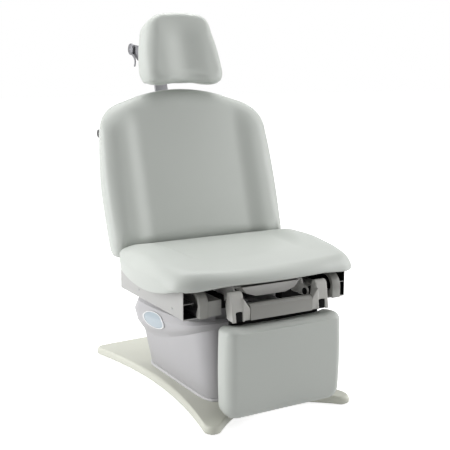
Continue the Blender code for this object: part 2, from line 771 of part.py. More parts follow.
def build_base():
    """Floor plate, feet, column cover and what stands inside it."""
    outline = base_outline()
    centre = Vector((0, 0))
    levels = ((0.0, 0.004), (0.008, 0.0), (0.55, 0.0), (0.80, 0.3), (0.94, 0.7), (1.0, 1.0))
    rings = []
    for share, inset in levels:
        depth = inset if share < 0.5 else inset * BASE_EDGE
        z = FOOT_HEIGHT + BASE_THICKNESS * share
        rings.append([(p.x, p.y, z) for p in drawn_in(outline, centre, depth)])
    piece("base_plate", skin(rings), "ivory", "base_frame")

    foot_x = BASE_HALF_WIDTH - LOBE_RADIUS
    for end, y in (("front", BASE_FRONT_Y + LOBE_RADIUS), ("rear", BASE_REAR_Y - LOBE_RADIUS * 1.5)):
        for hand, side in (("left", -1), ("right", 1)):
            stations = [(0.0, FOOT_RADIUS * 0.9), (0.001, FOOT_RADIUS), (FOOT_HEIGHT - GAP, FOOT_RADIUS)]
            piece(f"foot_{end}_{hand}", rod("z", (side * foot_x, y), stations), "rubber", "base_frame")

    trim = COVER_LEVELS[0]

    def trim_ring(inset, z):
        return [(x, y, z) for x, y, _ in cover_ring(trim, inset)]

    trim_top = FLOOR_SEAT + TRIM_HEIGHT
    low, high = -TRIM_STEP, -TRIM_STEP / 3
    rings = [trim_ring(low, FLOOR_SEAT), trim_ring(low, trim_top - 0.003), trim_ring(high, trim_top)]
    rings += [trim_ring(COVER_WALL, trim_top), trim_ring(COVER_WALL, FLOOR_SEAT)]
    piece("cover_trim", skin(rings, loop=True), "trim_grey", "base_frame")

    ahead = trim[3] - COVER_WALL * 3
    behind = trim[3] + COVER_WALL * 8
    opening = block((-PANEL_HALF_WIDTH, PANEL_HALF_WIDTH), (ahead, behind), (PANEL_BOTTOM_Z, PANEL_TOP_Z))
    inlet_x = (INLET_X - INLET_HALF, INLET_X + INLET_HALF)
    inlet_z = (INLET_BOTTOM_Z, INLET_BOTTOM_Z + INLET_HEIGHT)
    inlet_y = (trim[4] - INLET_DEPTH, trim[4] + INLET_RIM * 2)
    grown = [(a - RUN_GAP, b + RUN_GAP) for a, b in (inlet_x, inlet_y, inlet_z)]
    piece("column_cover", cover_shell(), "lilac_grey", "base_frame", cuts=(opening, block(*grown)))

    inside = PANEL_HALF_WIDTH - PANEL_SEAM
    panel = piece("front_panel", cover_shell(), "lilac_grey", "base_frame")
    level = (PANEL_BOTTOM_Z + PANEL_SEAM, PANEL_TOP_Z - PANEL_SEAM)
    keep = block((-inside, inside), (ahead, behind), level)
    guide = thing("front_panel_tool", keep, "base_frame", TABLE)
    guide.hide_render = True
    guide.display_type = "WIRE"
    cutting = panel.modifiers.new("Keep the front", "BOOLEAN")
    cutting.operation = "INTERSECT"
    cutting.solver = "EXACT"
    cutting.object = guide

    socket_x = (inlet_x[0] + INLET_RIM, inlet_x[1] - INLET_RIM)
    socket_z = (inlet_z[0] + INLET_RIM, inlet_z[1] - INLET_RIM)
    socket = block(socket_x, (inlet_y[1] - INLET_SOCKET, inlet_y[1] + INLET_RIM), socket_z)
    piece("power_inlet", block(inlet_x, inlet_y, inlet_z), "black_plastic", "base_frame", cuts=(socket,))
    piece("badge_plate", badge(), "badge_blue", "base_frame")

    piece("outer_mast", mast(0, FLOOR_SEAT, OUTER_MAST_TOP), "steel", "base_frame")
    stations = [(FLOOR_SEAT, SCREW_RADIUS * 1.5), (FLOOR_SEAT + 0.010, SCREW_RADIUS * 1.5)]
    stations += [(FLOOR_SEAT + 0.012, SCREW_RADIUS), (SCREW_TOP, SCREW_RADIUS)]
    piece("lift_screw", rod("z", (0, MAST_Y), stations), "steel", "base_frame")
    stations = [(FLOOR_SEAT, MOTOR_RADIUS), (FLOOR_SEAT + MOTOR_HEIGHT - 0.01, MOTOR_RADIUS)]
    stations.append((FLOOR_SEAT + MOTOR_HEIGHT, MOTOR_RADIUS * 0.8))
    piece("lift_motor", rod("z", (0, MOTOR_Y), stations), "black_steel", "base_frame")
    box_rear = MAST_Y - MAST_HALF_Y - SIDE_GAP * 5
    box_z = (FLOOR_SEAT, FLOOR_SEAT + BOX_HEIGHT)
    bounds = ((-BOX_HALF_X, BOX_HALF_X), (box_rear - BOX_DEPTH, box_rear), box_z)
    piece("control_box", block(*bounds), "black_plastic", "base_frame")


def build_mid_stage():
    """The middle tube of the column and the cover it carries."""
    inset = MAST_WALL + RUN_GAP
    piece("mid_mast", mast(1, FLOOR_SEAT + MAST_STEP, MID_MAST_TOP), "steel", "mid_frame")
    hole_x = MAST_HALF_X - inset * 2 + RUN_GAP * 2
    hole_y = MAST_HALF_Y - inset * 2 + RUN_GAP * 2
    foot = INNER_COVER_FOOT - MAST_STEP * 2
    top = MID_MAST_TOP + GAP + INNER_WALL
    shape = cap(
        TOP_COVER_HALF - COVER_NEST, TOP_COVER_FRONT + COVER_NEST, TOP_COVER_REAR - COVER_NEST,
        INNER_RADIUS - COVER_NEST / 2, foot, top, hole_x, hole_y,
    )
    piece("mid_cover", shape, "lilac_grey", "mid_frame")


def build_seat_frame():
    """Inner tube, carriage, rails, side panels and the seat itself."""
    inset = (MAST_WALL + RUN_GAP) * 2
    piece("inner_mast", mast(2, FLOOR_SEAT + MAST_STEP * 2, CARRIAGE_Z - GAP), "steel", "seat_frame")
    hole_x = MAST_HALF_X - inset + RUN_GAP
    hole_y = MAST_HALF_Y - inset + RUN_GAP
    shape = cap(
        TOP_COVER_HALF, TOP_COVER_FRONT, TOP_COVER_REAR, INNER_RADIUS,
        INNER_COVER_FOOT, CARRIAGE_Z - GAP, hole_x, hole_y,
    )
    piece("top_cover", shape, "lilac_grey", "seat_frame")

    beam_x = (GAP - RAIL_INNER_X, RAIL_INNER_X - GAP)
    plate_y = (CARRIAGE_FRONT_Y, CARRIAGE_REAR_Y)
    plate = block((-CARRIAGE_HALF_X, CARRIAGE_HALF_X), plate_y, (CARRIAGE_Z, CARRIAGE_TOP))
    sunk = CARRIAGE_TOP - CARRIAGE_THICKNESS / 4
    front_beam = block(beam_x, (FRONT_BEAM_Y, FRONT_BEAM_Y + BEAM_DEPTH), (sunk, FRONT_BEAM_TOP))
    rear_beam = block(beam_x, (REAR_BEAM_Y, REAR_BEAM_Y + BEAM_DEPTH), (sunk, REAR_BEAM_TOP))
    piece("carriage", plate, "black_steel", "seat_frame", adds=(front_beam, rear_beam))
    tie = block(beam_x, (TIE_Y, TIE_Y + TIE_DEPTH), (TIE_Z, TIE_Z + TIE_HEIGHT))
    feet = []
    for side in (-1, 1):
        foot_x = on_side(side, TIE_FOOT_X, RAIL_INNER_X - GAP)
        foot_z = (TIE_Z - TIE_FOOT, TIE_Z + SIDE_GAP)
        feet.append(block(foot_x, (TIE_Y + SIDE_GAP, TIE_Y + TIE_DEPTH - SIDE_GAP), foot_z))
    piece("front_crossmember", tie, "black_steel", "seat_frame", adds=feet)

    for hand, side in (("left", -1), ("right", 1)):
        build_seat_side(hand, side)

    outline = rounded([
        (-SEAT_HALF_WIDTH, SEAT_REAR_Y, SEAT_CORNER / 3, SEAT_SIDE_BOW),
        (-SEAT_HALF_WIDTH, SEAT_FRONT_Y, SEAT_CORNER, 0.0),
        (0.0, SEAT_FRONT_PEAK, SEAT_FRONT_ROUND, 0.0),
        (SEAT_HALF_WIDTH, SEAT_FRONT_Y, SEAT_CORNER, SEAT_SIDE_BOW),
        (SEAT_HALF_WIDTH, SEAT_REAR_Y, SEAT_CORNER / 3, 0.0),
    ], 52)
    centre = Vector((0, (SEAT_FRONT_Y + SEAT_REAR_Y) / 2))
    depth = SEAT_REAR_Y - SEAT_FRONT_Y

    def top(x, y):
        rise = SEAT_BOLSTER * step(SEAT_HALF_WIDTH * 0.45, SEAT_HALF_WIDTH * 0.8, abs(x))
        fall = SEAT_WATERFALL * step(centre.y - depth * 0.2, SEAT_FRONT_PEAK, y)
        return SEAT_TOP_Z + rise - fall

    def rim(x, y):
        beside = step(PANEL_X + SIDE_GAP * 14, SEAT_HALF_WIDTH - SIDE_GAP * 2, abs(x))
        along = max(0.0, 1 - ((y - centre.y) / (depth * 0.37)) ** 2)
        return CUSHION_SEAT - SEAT_SKIRT_DROP * beside * along

    ceiling = CUSHION_SEAT + SEAT_BOARD + GAP
    cushion = padding(
        outline, centre, top, rim, ceiling, 1, SEAT_EDGE, SEAT_SKIRT, SEAT_TUCK, lambda u, v, w: (u, v, w)
    )
    piece("seat_cushion", cushion, "vinyl", "seat_frame")
    board = drawn_in(outline, centre, SEAT_SKIRT + BOARD_MARGIN)
    piece("seat_board", prism(board, "z", CUSHION_SEAT, CUSHION_SEAT + SEAT_BOARD), "plywood", "seat_frame")


def build_seat_side(hand, side):
    """One side of the seat frame: panel, rail with its back hinge, and leg bracket."""
    wall = PANEL_X - SHEET
    tray, shelf, top = FRAME_Z, SHELF_Z, SEAT_UNDERSIDE
    shelf_x = STIRRUP_INNER_X + STIRRUP_WIDTH + SHELF_CLEARANCE
    profile = [
        (TRAY_INNER_X, tray), (PANEL_X, tray), (PANEL_X, top), (shelf_x, top), (shelf_x, top - SHEET),
        (wall, top - SHEET), (wall, shelf + SHEET), (shelf_x, shelf + SHEET), (shelf_x, shelf),
        (wall, shelf), (wall, tray + SHEET), (TRAY_INNER_X, tray + SHEET),
    ]
    shape = prism([(side * u, v) for u, v in profile], "y", PANEL_FRONT_Y, PANEL_REAR_Y)
    piece(f"side_panel_{hand}", shape, "panel_grey", "seat_frame")

    rail_x = (RAIL_INNER_X, RAIL_INNER_X + RAIL_WIDTH)
    rail_z = (RAIL_Z, RAIL_Z + RAIL_HEIGHT)

    def section(inset, y):
        low, high = on_side(side, rail_x[0] + inset, rail_x[1] - inset)
        z = (rail_z[0] + inset, rail_z[1] - inset)
        return [(low, y, z[0]), (high, y, z[0]), (high, y, z[1]), (low, y, z[1])]

    rings = [section(0, RAIL_FRONT_Y), section(0, RAIL_REAR_Y), section(RAIL_WALL, RAIL_REAR_Y)]
    tube = skin(rings + [section(RAIL_WALL, RAIL_FRONT_Y + RAIL_WALL)])
    ear_face = BACK_ARM_X + BACK_ARM_THICKNESS + SIDE_GAP
    ear_x = on_side(side, ear_face, ear_face + BACK_ARM_THICKNESS)
    sunk = rail_z[1] - RAIL_WALL / 2
    eye = circle((HINGE.y, HINGE.z), EYE_RADIUS)
    ear = prism(hull(eye + [(HINGE.y - 0.026, sunk), (RAIL_REAR_Y, sunk)]), "x", *ear_x)
    bore = drill("x", (HINGE.y, HINGE.z), ear_x, SHAFT_END_RADIUS + RUN_GAP)
    piece(f"rail_{hand}", tube, "frame_grey", "seat_frame", adds=(ear,), cuts=(bore,))

    plate_x = on_side(side, LEG_BRACKET_X, LEG_BRACKET_X + LEG_BRACKET_THICKNESS)
    foot = TIE_Z + TIE_HEIGHT + GAP
    front, rear, low = LEG_BRACKET_FRONT_Y, LEG_BRACKET_REAR_Y, LEG_BRACKET_FOOT_Z
    profile = [
        (front, low), (TIE_Y - GAP, low), (TIE_Y - GAP, foot), (rear, foot), (rear, SEAT_UNDERSIDE),
        (front + 0.020, SEAT_UNDERSIDE), (front, LEG_PIVOT_Z + LEG_EAR_RADIUS * 1.6),
    ]
    pivot = (LEG_PIVOT_Y, LEG_PIVOT_Z)
    ear_root = [(front + 0.005, low), (front + 0.005, LEG_PIVOT_Z + LEG_EAR_RADIUS * 1.5)]
    leg_ear = prism(hull(circle(pivot, LEG_EAR_RADIUS) + ear_root), "x", *plate_x)
    runner_top = PAN_RIM_Z - GAP
    runner_x = on_side(side, PAN_HALF_TOP + RUN_GAP, LEG_BRACKET_X + LEG_BRACKET_THICKNESS / 2)
    runner = block(runner_x, (PAN_FRONT_Y + RUNNER_SETBACK, rear), (runner_top - RUNNER_HEIGHT, runner_top))
    bore = drill("x", pivot, plate_x, PIN_RADIUS + RUN_GAP)
    plate = prism(profile, "x", *plate_x)
    piece(f"leg_bracket_{hand}", plate, "frame_grey", "seat_frame", adds=(leg_ear, runner), cuts=(bore,))


def build_pan():
    """The shallow tray between the leg brackets, with a rim that runs on their runners."""
    floor, rim = PAN_FLOOR_Z, PAN_RIM_Z

    def section(inset, top):
        foot = PAN_HALF_FLOOR - inset
        side = PAN_HALF_TOP - inset
        bend = (foot * 0.35 + side * 0.65, floor + (rim - floor) * 0.35 + inset / 2)
        half = [(foot, floor + inset), bend, (side, top)]
        return half + [(-u, v) for u, v in reversed(half)]

    tray = prism(section(0, rim), "y", PAN_FRONT_Y, PAN_REAR_Y)
    rim_x = PAN_HALF_TOP + PAN_RIM
    sill = block((-rim_x, rim_x), (PAN_FRONT_Y + PAN_RIM, PAN_REAR_Y), (rim, rim + PAN_WALL))
    inside = section(PAN_WALL, rim + PAN_WALL * 2)
    hollow = prism(inside, "y", PAN_FRONT_Y + PAN_WALL, PAN_REAR_Y - PAN_WALL)
    piece("pan", tray, "frame_grey", "pan_frame", adds=(sill,), cuts=(hollow,))


def build_stirrup(hand, side):
    """A sliding bar in the side compartment and the foot rest that folds on its end."""
    span = on_side(side, STIRRUP_INNER_X, STIRRUP_INNER_X + STIRRUP_WIDTH)
    front, bend, top = STIRRUP_FRONT_Y, STIRRUP_BEND_Z, STIRRUP_TOP_Z
    reach, rise = STIRRUP_REACH, top - bend
    turns = [math.radians(90 * i / 8) for i in range(9)]
    outer = [(front + reach * (1 - math.cos(a)), bend + rise * math.sin(a)) for a in turns]
    inner_reach, inner_rise = reach - STIRRUP_BAND, rise - STIRRUP_BAND
    inner = [
        (front + reach - inner_reach * math.cos(a), bend + inner_rise * math.sin(a)) for a in turns[::-1]
    ]
    skin_y = front + STIRRUP_SKIN
    shoulder = STIRRUP_PIVOT_Z + BAR_EYE + SIDE_GAP * 3
    foot = [(front + STIRRUP_BAND, shoulder), (skin_y, shoulder)]
    foot += [(skin_y, STIRRUP_FOOT_Z), (front, STIRRUP_FOOT_Z)]
    band = prism(outer + inner + foot, "x", *span)
    pivot = (STIRRUP_PIVOT_Y, STIRRUP_PIVOT_Z)
    lug_eye = circle(pivot, STIRRUP_PIVOT_Z - STIRRUP_FOOT_Z, 16)
    lug_root = [(front + SIDE_GAP, STIRRUP_FOOT_Z), (front + SIDE_GAP, bend), (front + STIRRUP_BAND, bend)]
    lug_shape = hull(lug_eye + lug_root)
    inner_lug = prism(lug_shape, "x", *on_side(side, STIRRUP_INNER_X, STIRRUP_INNER_X + STIRRUP_LUG))
    far = STIRRUP_INNER_X + STIRRUP_WIDTH
    outer_lug = prism(lug_shape, "x", *on_side(side, far - STIRRUP_LUG, far))
    sunk = STIRRUP_LUG / 2
    pin_x = on_side(side, STIRRUP_INNER_X + sunk, far - sunk)
    pin = rod("x", pivot, [(w, STIRRUP_PIN) for w in pin_x], 12)
    name = f"stirrup_{hand}"
    piece(name, band, "warm_grey", f"{name}_fold_frame", adds=(inner_lug, outer_lug, pin))

    play = STIRRUP_LUG + SIDE_GAP
    bar_x = on_side(side, STIRRUP_INNER_X + play, far - play)
    bottom = TRAY_TOP + GAP
    end = STIRRUP_PIVOT_Y + BAR_EYE + SIDE_GAP * 10
    eye = circle(pivot, BAR_EYE, 16)
    nose = prism(hull(eye + [(end, bottom), (end, bottom + BAR_HEIGHT)]), "x", *bar_x)
    body = block(bar_x, (end - SIDE_GAP * 2, BAR_REAR_END_Y), (bottom, bottom + BAR_HEIGHT))
    bore = drill("x", pivot, bar_x, STIRRUP_PIN + RUN_GAP, 12)
    piece(f"stirrup_bar_{hand}", body, "steel", f"{name}_slide_frame", adds=(nose,), cuts=(bore,))


def build_leg():
    """Straps, yoke, board and cushion of the leg section."""
    pivot = (LEG_PIVOT_Y, LEG_PIVOT_Z)
    for hand, side in (("left", -1), ("right", 1)):
        build_leg_side(hand, side, pivot)

    end = FAIRING_X - GAP
    lean = 0.004
    profile = [
        (ARM_FRONT_Y, BAR_FOOT_Z), (BAR_REAR_Y, BAR_FOOT_Z), (BAR_REAR_Y, BAR_TOP_Z - 0.004),
        (BAR_REAR_Y - 0.004, BAR_TOP_Z), (ARM_FRONT_Y + 0.012, BAR_TOP_Z),
        (ARM_FRONT_Y + lean, BAR_TOP_Z - 0.008),
    ]
    bar = prism(profile, "x", -end, end)
    half = CRANK_THICKNESS / 2
    eye = circle((LEG_PIVOT_Y + LEG_CRANK_Y, LEG_PIVOT_Z - LEG_CRANK_Z), CRANK_EYE)
    root = [(BAR_REAR_Y - 0.004, BAR_FOOT_Z + 0.006), (BAR_REAR_Y - 0.004, BAR_TOP_Z - 0.012)]
    crank = prism(hull(eye + root), "x", CRANK_X - half, CRANK_X + half)
    piece("yoke_bar", bar, "warm_grey", "leg_frame", adds=(crank,))

    outline = rounded([
        (PAD_HALF_WIDTH, PAD_FOOT_Z, 0.036, 0.003), (PAD_HALF_WIDTH, PAD_TOP_Z, 0.036, 0.0),
        (-PAD_HALF_WIDTH, PAD_TOP_Z, 0.036, 0.003), (-PAD_HALF_WIDTH, PAD_FOOT_Z, 0.036, 0.0),
    ], 44)
    centre = Vector((0, (PAD_FOOT_Z + PAD_TOP_Z) / 2))
    rear = PAD_FRONT_Y + PAD_THICKNESS

    def front(x, z):
        away = max(abs(x) / PAD_HALF_WIDTH, abs(z - centre.y) / (centre.y - PAD_FOOT_Z))
        return PAD_FRONT_Y + PAD_CROWN * away * away

    ceiling = rear - PAD_BOARD - GAP
    cushion = padding(
        outline, centre, front, lambda x, z: rear, ceiling, -1, PAD_EDGE, PAD_SKIRT, PAD_TUCK,
        lambda u, v, w: (u, w, v),
    )
    piece("leg_cushion", cushion, "vinyl", "leg_frame")
    board = drawn_in(outline, centre, PAD_SKIRT + BOARD_MARGIN)
    piece("leg_board", prism(board, "y", rear - PAD_BOARD, rear), "plywood", "leg_frame")


def build_leg_side(hand, side, pivot):
    """One strap, hinge pin and yoke arm of the leg section."""
    strap_x = on_side(side, STRAP_X, STRAP_X + STRAP_WIDTH)
    face = STRAP_REAR_Y - STRAP_THICKNESS
    upright = block(strap_x, (face, STRAP_REAR_Y), (STRAP_FOOT_Z, TONGUE_TOP_Z))
    root = [(face + 0.010, TONGUE_BOTTOM_Z), (STRAP_REAR_Y, TONGUE_BOTTOM_Z)]
    eye = prism(hull(circle(pivot, STRAP_EYE) + root), "x", *strap_x)
    tongue = block(strap_x, (ARM_FRONT_Y + TONGUE_SETBACK, face + 0.002), (TONGUE_BOTTOM_Z, TONGUE_TOP_Z))
    # half of the tie between the straps, just under the yoke bar
    tie_top = ARM_FOOT_Z - SIDE_GAP
    tie_x = on_side(side, GAP / 2, STRAP_X + SIDE_GAP)
    tie = block(tie_x, (face, STRAP_REAR_Y), (tie_top - STRAP_TIE, tie_top))
    # the hinge pin is welded to its strap and turns in the bracket
    inner = LEG_BRACKET_X - PIN_HEAD - SIDE_GAP
    stations = [
        (inner, PIN_HEAD_RADIUS), (inner + PIN_HEAD, PIN_HEAD_RADIUS), (inner + PIN_HEAD, PIN_RADIUS),
        (LEG_BRACKET_X + LEG_BRACKET_THICKNESS + SIDE_GAP, PIN_RADIUS),
        (LEG_BRACKET_X + LEG_BRACKET_THICKNESS + SIDE_GAP, PIN_COLLAR_RADIUS),
        (STRAP_X + STRAP_WIDTH / 2, PIN_COLLAR_RADIUS),
    ]
    pin = rod("x", pivot, [(side * w, r) for w, r in stations])
    piece(f"leg_strap_{hand}", upright, "black_steel", "leg_frame", adds=(eye, tongue, tie, pin))

    front, rear, top, foot = ARM_FRONT_Y, ARM_REAR_Y, ARM_TOP_Z, ARM_FOOT_Z
    knee = (top + foot) / 2
    profile = [
        (front, foot), (rear - 0.010, foot + 0.006), (rear, knee), (rear - 0.010, top - 0.006),
        (rear - 0.016, top), (rear - 0.026, top), (rear - 0.036, top - 0.010), (front + 0.008, knee),
    ]
    arm = prism(profile, "x", *on_side(side, ARM_INNER_X, ARM_OUTER_X))
    # the arm grows inward below its bend to meet the bar
    fairing = prism(
        [(side * u, v) for u, v in (
            (ARM_INNER_X + 0.004, foot + 0.002), (ARM_INNER_X + 0.004, knee + 0.030),
            (FAIRING_X + 0.004, knee - 0.004), (FAIRING_X, knee - 0.010), (FAIRING_X, foot + 0.002),
        )], "y", front + 0.004, BAR_REAR_Y,
    )
    low, high = STRAP_X - SIDE_GAP, STRAP_X + STRAP_WIDTH + SIDE_GAP
    notch_y = (front - OVERCUT, rear + OVERCUT)
    notch = block(on_side(side, low, high), notch_y, (foot - OVERCUT, NOTCH_TOP_Z))
    clear = circle(pivot, STRAP_EYE + SIDE_GAP) + [(y - SIDE_GAP, z) for y, z in root]
    relief = prism(hull(clear), "x", *on_side(side, low, high))
    piece(f"yoke_arm_{hand}", arm, "warm_grey", "leg_frame", adds=(fairing,), cuts=(notch, relief))


def actuator(name, rod_name, centre, tail, length, inner, eye, body, rod_body):
    """A linear actuator along Y: a tube fixed at its tail, and a rod with a fork round a crank."""
    x, z = centre
    ahead = 1 if eye > tail else -1
    mouth = tail + ahead * length
    tube = rod("y", centre, [(w, ACTUATOR_RADIUS) for w in sorted((tail, mouth))])
    span = sorted((tail + ahead * ACTUATOR_END, mouth + ahead * OVERCUT))
    bore = rod("y", centre, [(w, ROD_RADIUS + RUN_GAP) for w in span])
    piece(name, tube, "black_steel", body, cuts=(bore,))
    start = mouth - ahead * inner
    web = eye - ahead * FORK_REACH
    shank = rod("y", centre, [(w, ROD_RADIUS) for w in sorted((start, web))])
    reach = CRANK_THICKNESS / 2 + SIDE_GAP
    wide = reach + FORK_CHEEK
    depth = sorted((web - ahead * 0.006, web + ahead * 0.004))
    head = block((x - wide, x + wide), depth, (z - CRANK_EYE, z + CRANK_EYE))
    cheeks = []
    for side in (-1, 1):
        low, high = sorted((x + side * reach, x + side * wide))
        root = web + ahead * 0.002
        corners = [(root, z - CRANK_EYE), (root, z + CRANK_EYE)]
        cheeks.append(prism(hull(corners + circle((eye, z), CRANK_EYE)), "x", low, high))
    piece(rod_name, shank, "steel", rod_body, adds=(head, *cheeks))


def build_actuators():
    """The two actuators under the seat."""
    back_z = HINGE.z - BACK_CRANK_Z
    back_tail = TIE_Y + TIE_DEPTH + GAP
    actuator(
        "back_actuator", "back_rod", (BACK_CRANK_X, back_z), back_tail, BACK_ACTUATOR_LENGTH,
        BACK_ROD_INNER, HINGE.y + BACK_CRANK_Y, "seat_frame", "back_rod_frame",
    )
    leg_z = LEG_PIVOT_Z - LEG_CRANK_Z
    actuator(
        "leg_actuator", "leg_rod", (CRANK_X, leg_z), FRONT_BEAM_Y - GAP, LEG_ACTUATOR_LENGTH,
        LEG_ROD_INNER, LEG_PIVOT_Y + LEG_CRANK_Y, "seat_frame", "leg_rod_frame",
    )


def build_back():
    """Hinge shaft, arms, board, cushion and rear shell of the back."""
    axis = (HINGE.y, HINGE.z)
    arm_out = BACK_ARM_X + BACK_ARM_THICKNESS
    tip = arm_out + BACK_ARM_THICKNESS + SIDE_GAP
    inner = BACK_ARM_X - GAP
    stations = [(-tip, SHAFT_END_RADIUS), (-inner, SHAFT_END_RADIUS), (-inner, SHAFT_RADIUS)]
    stations += [(inner, SHAFT_RADIUS), (inner, SHAFT_END_RADIUS), (tip, SHAFT_END_RADIUS)]
    half = CRANK_THICKNESS / 2
    eye = circle((HINGE.y + BACK_CRANK_Y, HINGE.z - BACK_CRANK_Z), CRANK_EYE)
    shape = hull(eye + circle(axis, SHAFT_RADIUS * 1.3))
    crank = prism(shape, "x", BACK_CRANK_X - half, BACK_CRANK_X + half)
    piece("back_shaft", rod("x", axis, stations), "steel", "back_frame", adds=(crank,))

    outline = rounded([
        (BACK_HALF_WIDTH, BACK_FOOT, BACK_FOOT_CORNER, 0.006),
        (BACK_TOP_HALF_WIDTH, BACK_SHOULDER, BACK_CORNER, 0.0), (0.0, BACK_PEAK, BACK_PEAK_ROUND, 0.0),
        (-BACK_TOP_HALF_WIDTH, BACK_SHOULDER, BACK_CORNER, 0.006),
        (-BACK_HALF_WIDTH, BACK_FOOT, BACK_FOOT_CORNER, 0.0),
    ], 56)
    centre = Vector((0, (BACK_FOOT + BACK_SHOULDER) / 2))

    def front(x, s):
        bolster = step(BACK_HALF_WIDTH * 0.57, BACK_HALF_WIDTH * 0.78, abs(x))
        ends = step(BACK_SHOULDER, BACK_SHOULDER - BACK_CORNER, s)
        return BACK_DISH * (1 - bolster * ends)

    ceiling = BACK_THICKNESS - BACK_BOARD - GAP
    cushion = padding(
        outline, centre, front, lambda x, s: BACK_THICKNESS, ceiling, -1, BACK_EDGE, BACK_SKIRT, BACK_TUCK,
        lambda u, v, w: (u, w, v),
    )
    piece("back_cushion", cushion, "vinyl", "back_frame", BACK)
    board = drawn_in(outline, centre, BACK_SKIRT + BOARD_MARGIN)
    shape = prism(board, "y", BACK_THICKNESS - BACK_BOARD, BACK_THICKNESS)
    piece("back_board", shape, "plywood", "back_frame", BACK)

    arm_front = BACK_THICKNESS + GAP
    arm_rear = arm_front + BACK_ARM_DEPTH
    under = BACK_FOOT - BACK_ARM_DROP
    notches = []
    for hand, side in (("left", -1), ("right", 1)):
        arm_x = on_side(side, BACK_ARM_X, arm_out)
        eye = circle((HINGE_DEPTH, -HINGE_DROP), EYE_RADIUS)
        corner = [(arm_front, under), (arm_rear, under)]
        knee = prism(hull(eye + corner), "x", *arm_x)
        strip = block(arm_x, (arm_front, arm_rear), (under - 0.002, BACK_ARM_TOP))
        bore = drill("x", (HINGE_DEPTH, -HINGE_DROP), arm_x, SHAFT_END_RADIUS + GAP)
        piece(f"back_arm_{hand}", strip, "black_steel", "back_frame", BACK, adds=(knee,), cuts=(bore,))
        wide = on_side(side, BACK_ARM_X - SIDE_GAP, arm_out + SIDE_GAP)
        level = (SHELL_FOOT - NOTCH_HALF, SHELL_FOOT + NOTCH_HALF)
        notches.append(block(wide, (arm_front - OVERCUT, arm_rear + SIDE_GAP), level))

    shell = [Vector((p.x, max(p.y, SHELL_FOOT))) for p in drawn_in(outline, centre, SHELL_MARGIN)]

    def ring(inset, depth):
        return [(p.x, depth, p.y) for p in drawn_in(shell, centre, inset)]

    wall, bend = SHELL_WALL, SHELL_EDGE
    rings = [ring(0, SHELL_FRONT), ring(bend * 0.25, SHELL_REAR - bend)]
    rings += [ring(bend * 0.6, SHELL_REAR - bend * 0.35)]
    rings += [ring(bend * 1.4, SHELL_REAR), ring(bend * 1.4 + wall, SHELL_REAR - wall)]
    hollow = [ring(bend * 0.25 + wall, SHELL_REAR - bend), ring(wall, SHELL_FRONT)]
    bm = shell_mesh(rings, hollow)
    piece("back_cover", bm, "lilac_grey", "back_frame", BACK, cuts=notches)
    build_glide_socket()
    build_paper_rod()


def shell_mesh(outside, inside):
    """A dish: outer rings up to a flat back, and inner rings from its floor to the rim."""
    bm = bmesh.new()
    outer = outside[:-1]
    inner = [outside[-1]] + inside
    rows = [[bm.verts.new(p) for p in ring] for ring in outer]
    floor = [[bm.verts.new(p) for p in ring] for ring in inner]
    count = len(rows[0])
    chain = list(zip(rows, rows[1:])) + list(zip(floor, floor[1:])) + [(floor[-1], rows[0])]
    for low, high in chain:
        for i in range(count):
            j = (i + 1) % count
            bm.faces.new((low[i], low[j], high[j], high[i]))
    bm.faces.new(rows[-1])
    bm.faces.new(floor[0])
    bmesh.ops.recalc_face_normals(bm, faces=bm.faces)
    return bm


def build_glide_socket():
    """The guide on the rear shell that the headrest's flat bar slides through."""
    front = SHELL_REAR + GAP
    rear = GLIDE_DEPTH + GLIDE_THICKNESS / 2 + SOCKET_COVER
    shape = block((-SOCKET_HALF_WIDTH, SOCKET_HALF_WIDTH), (front, rear), (SOCKET_FOOT, SOCKET_TOP))
    half = GLIDE_HALF_WIDTH + RUN_GAP
    deep = GLIDE_THICKNESS / 2 + RUN_GAP
    level = (SOCKET_FOOT - OVERCUT, SOCKET_TOP + OVERCUT)
    slot = block((-half, half), (GLIDE_DEPTH - deep, GLIDE_DEPTH + deep), level)
    piece("glide_socket", shape, "black_plastic", "back_frame", BACK, cuts=(slot,))


def build_paper_rod():
    """Two arms on the rear shell and the rod that a roll of paper turns on."""
    centre = (PAPER_ROD_DEPTH, PAPER_ROD_UP)
    seat = SHELL_REAR + GAP
    low, high = PAPER_ROD_UP - PAPER_FLANGE_DROP, PAPER_ROD_UP - PAPER_FLANGE_DROP + PAPER_FLANGE_HEIGHT
    end = PAPER_ROD_HALF + PAPER_BRACKET - PAPER_BRACKET_LIP
    for hand, side in (("left", -1), ("right", 1)):
        span = on_side(side, PAPER_ROD_HALF, PAPER_ROD_HALF + PAPER_BRACKET)
        eye = circle(centre, PAPER_BRACKET_RADIUS)
        arm = prism(hull(eye + [(seat, low), (seat, high)]), "x", *span)
        wide = on_side(side, PAPER_ROD_HALF - PAPER_FLANGE_WIDTH, PAPER_ROD_HALF + PAPER_BRACKET / 2)
        flange = block(wide, (seat, seat + PAPER_FLANGE), (low, high))
        blind = on_side(side, PAPER_ROD_HALF - OVERCUT, end)
        bore = rod("x", centre, [(w, PAPER_ROD_RADIUS + RUN_GAP) for w in blind])
        name = f"paper_bracket_{hand}"
        piece(name, arm, "black_plastic", "back_frame", BACK, adds=(flange,), cuts=(bore,))
    half = end - GAP
    roller = rod("x", centre, [(-half, PAPER_ROD_RADIUS), (half, PAPER_ROD_RADIUS)])
    piece("paper_rod", roller, "steel", "paper_frame", BACK)


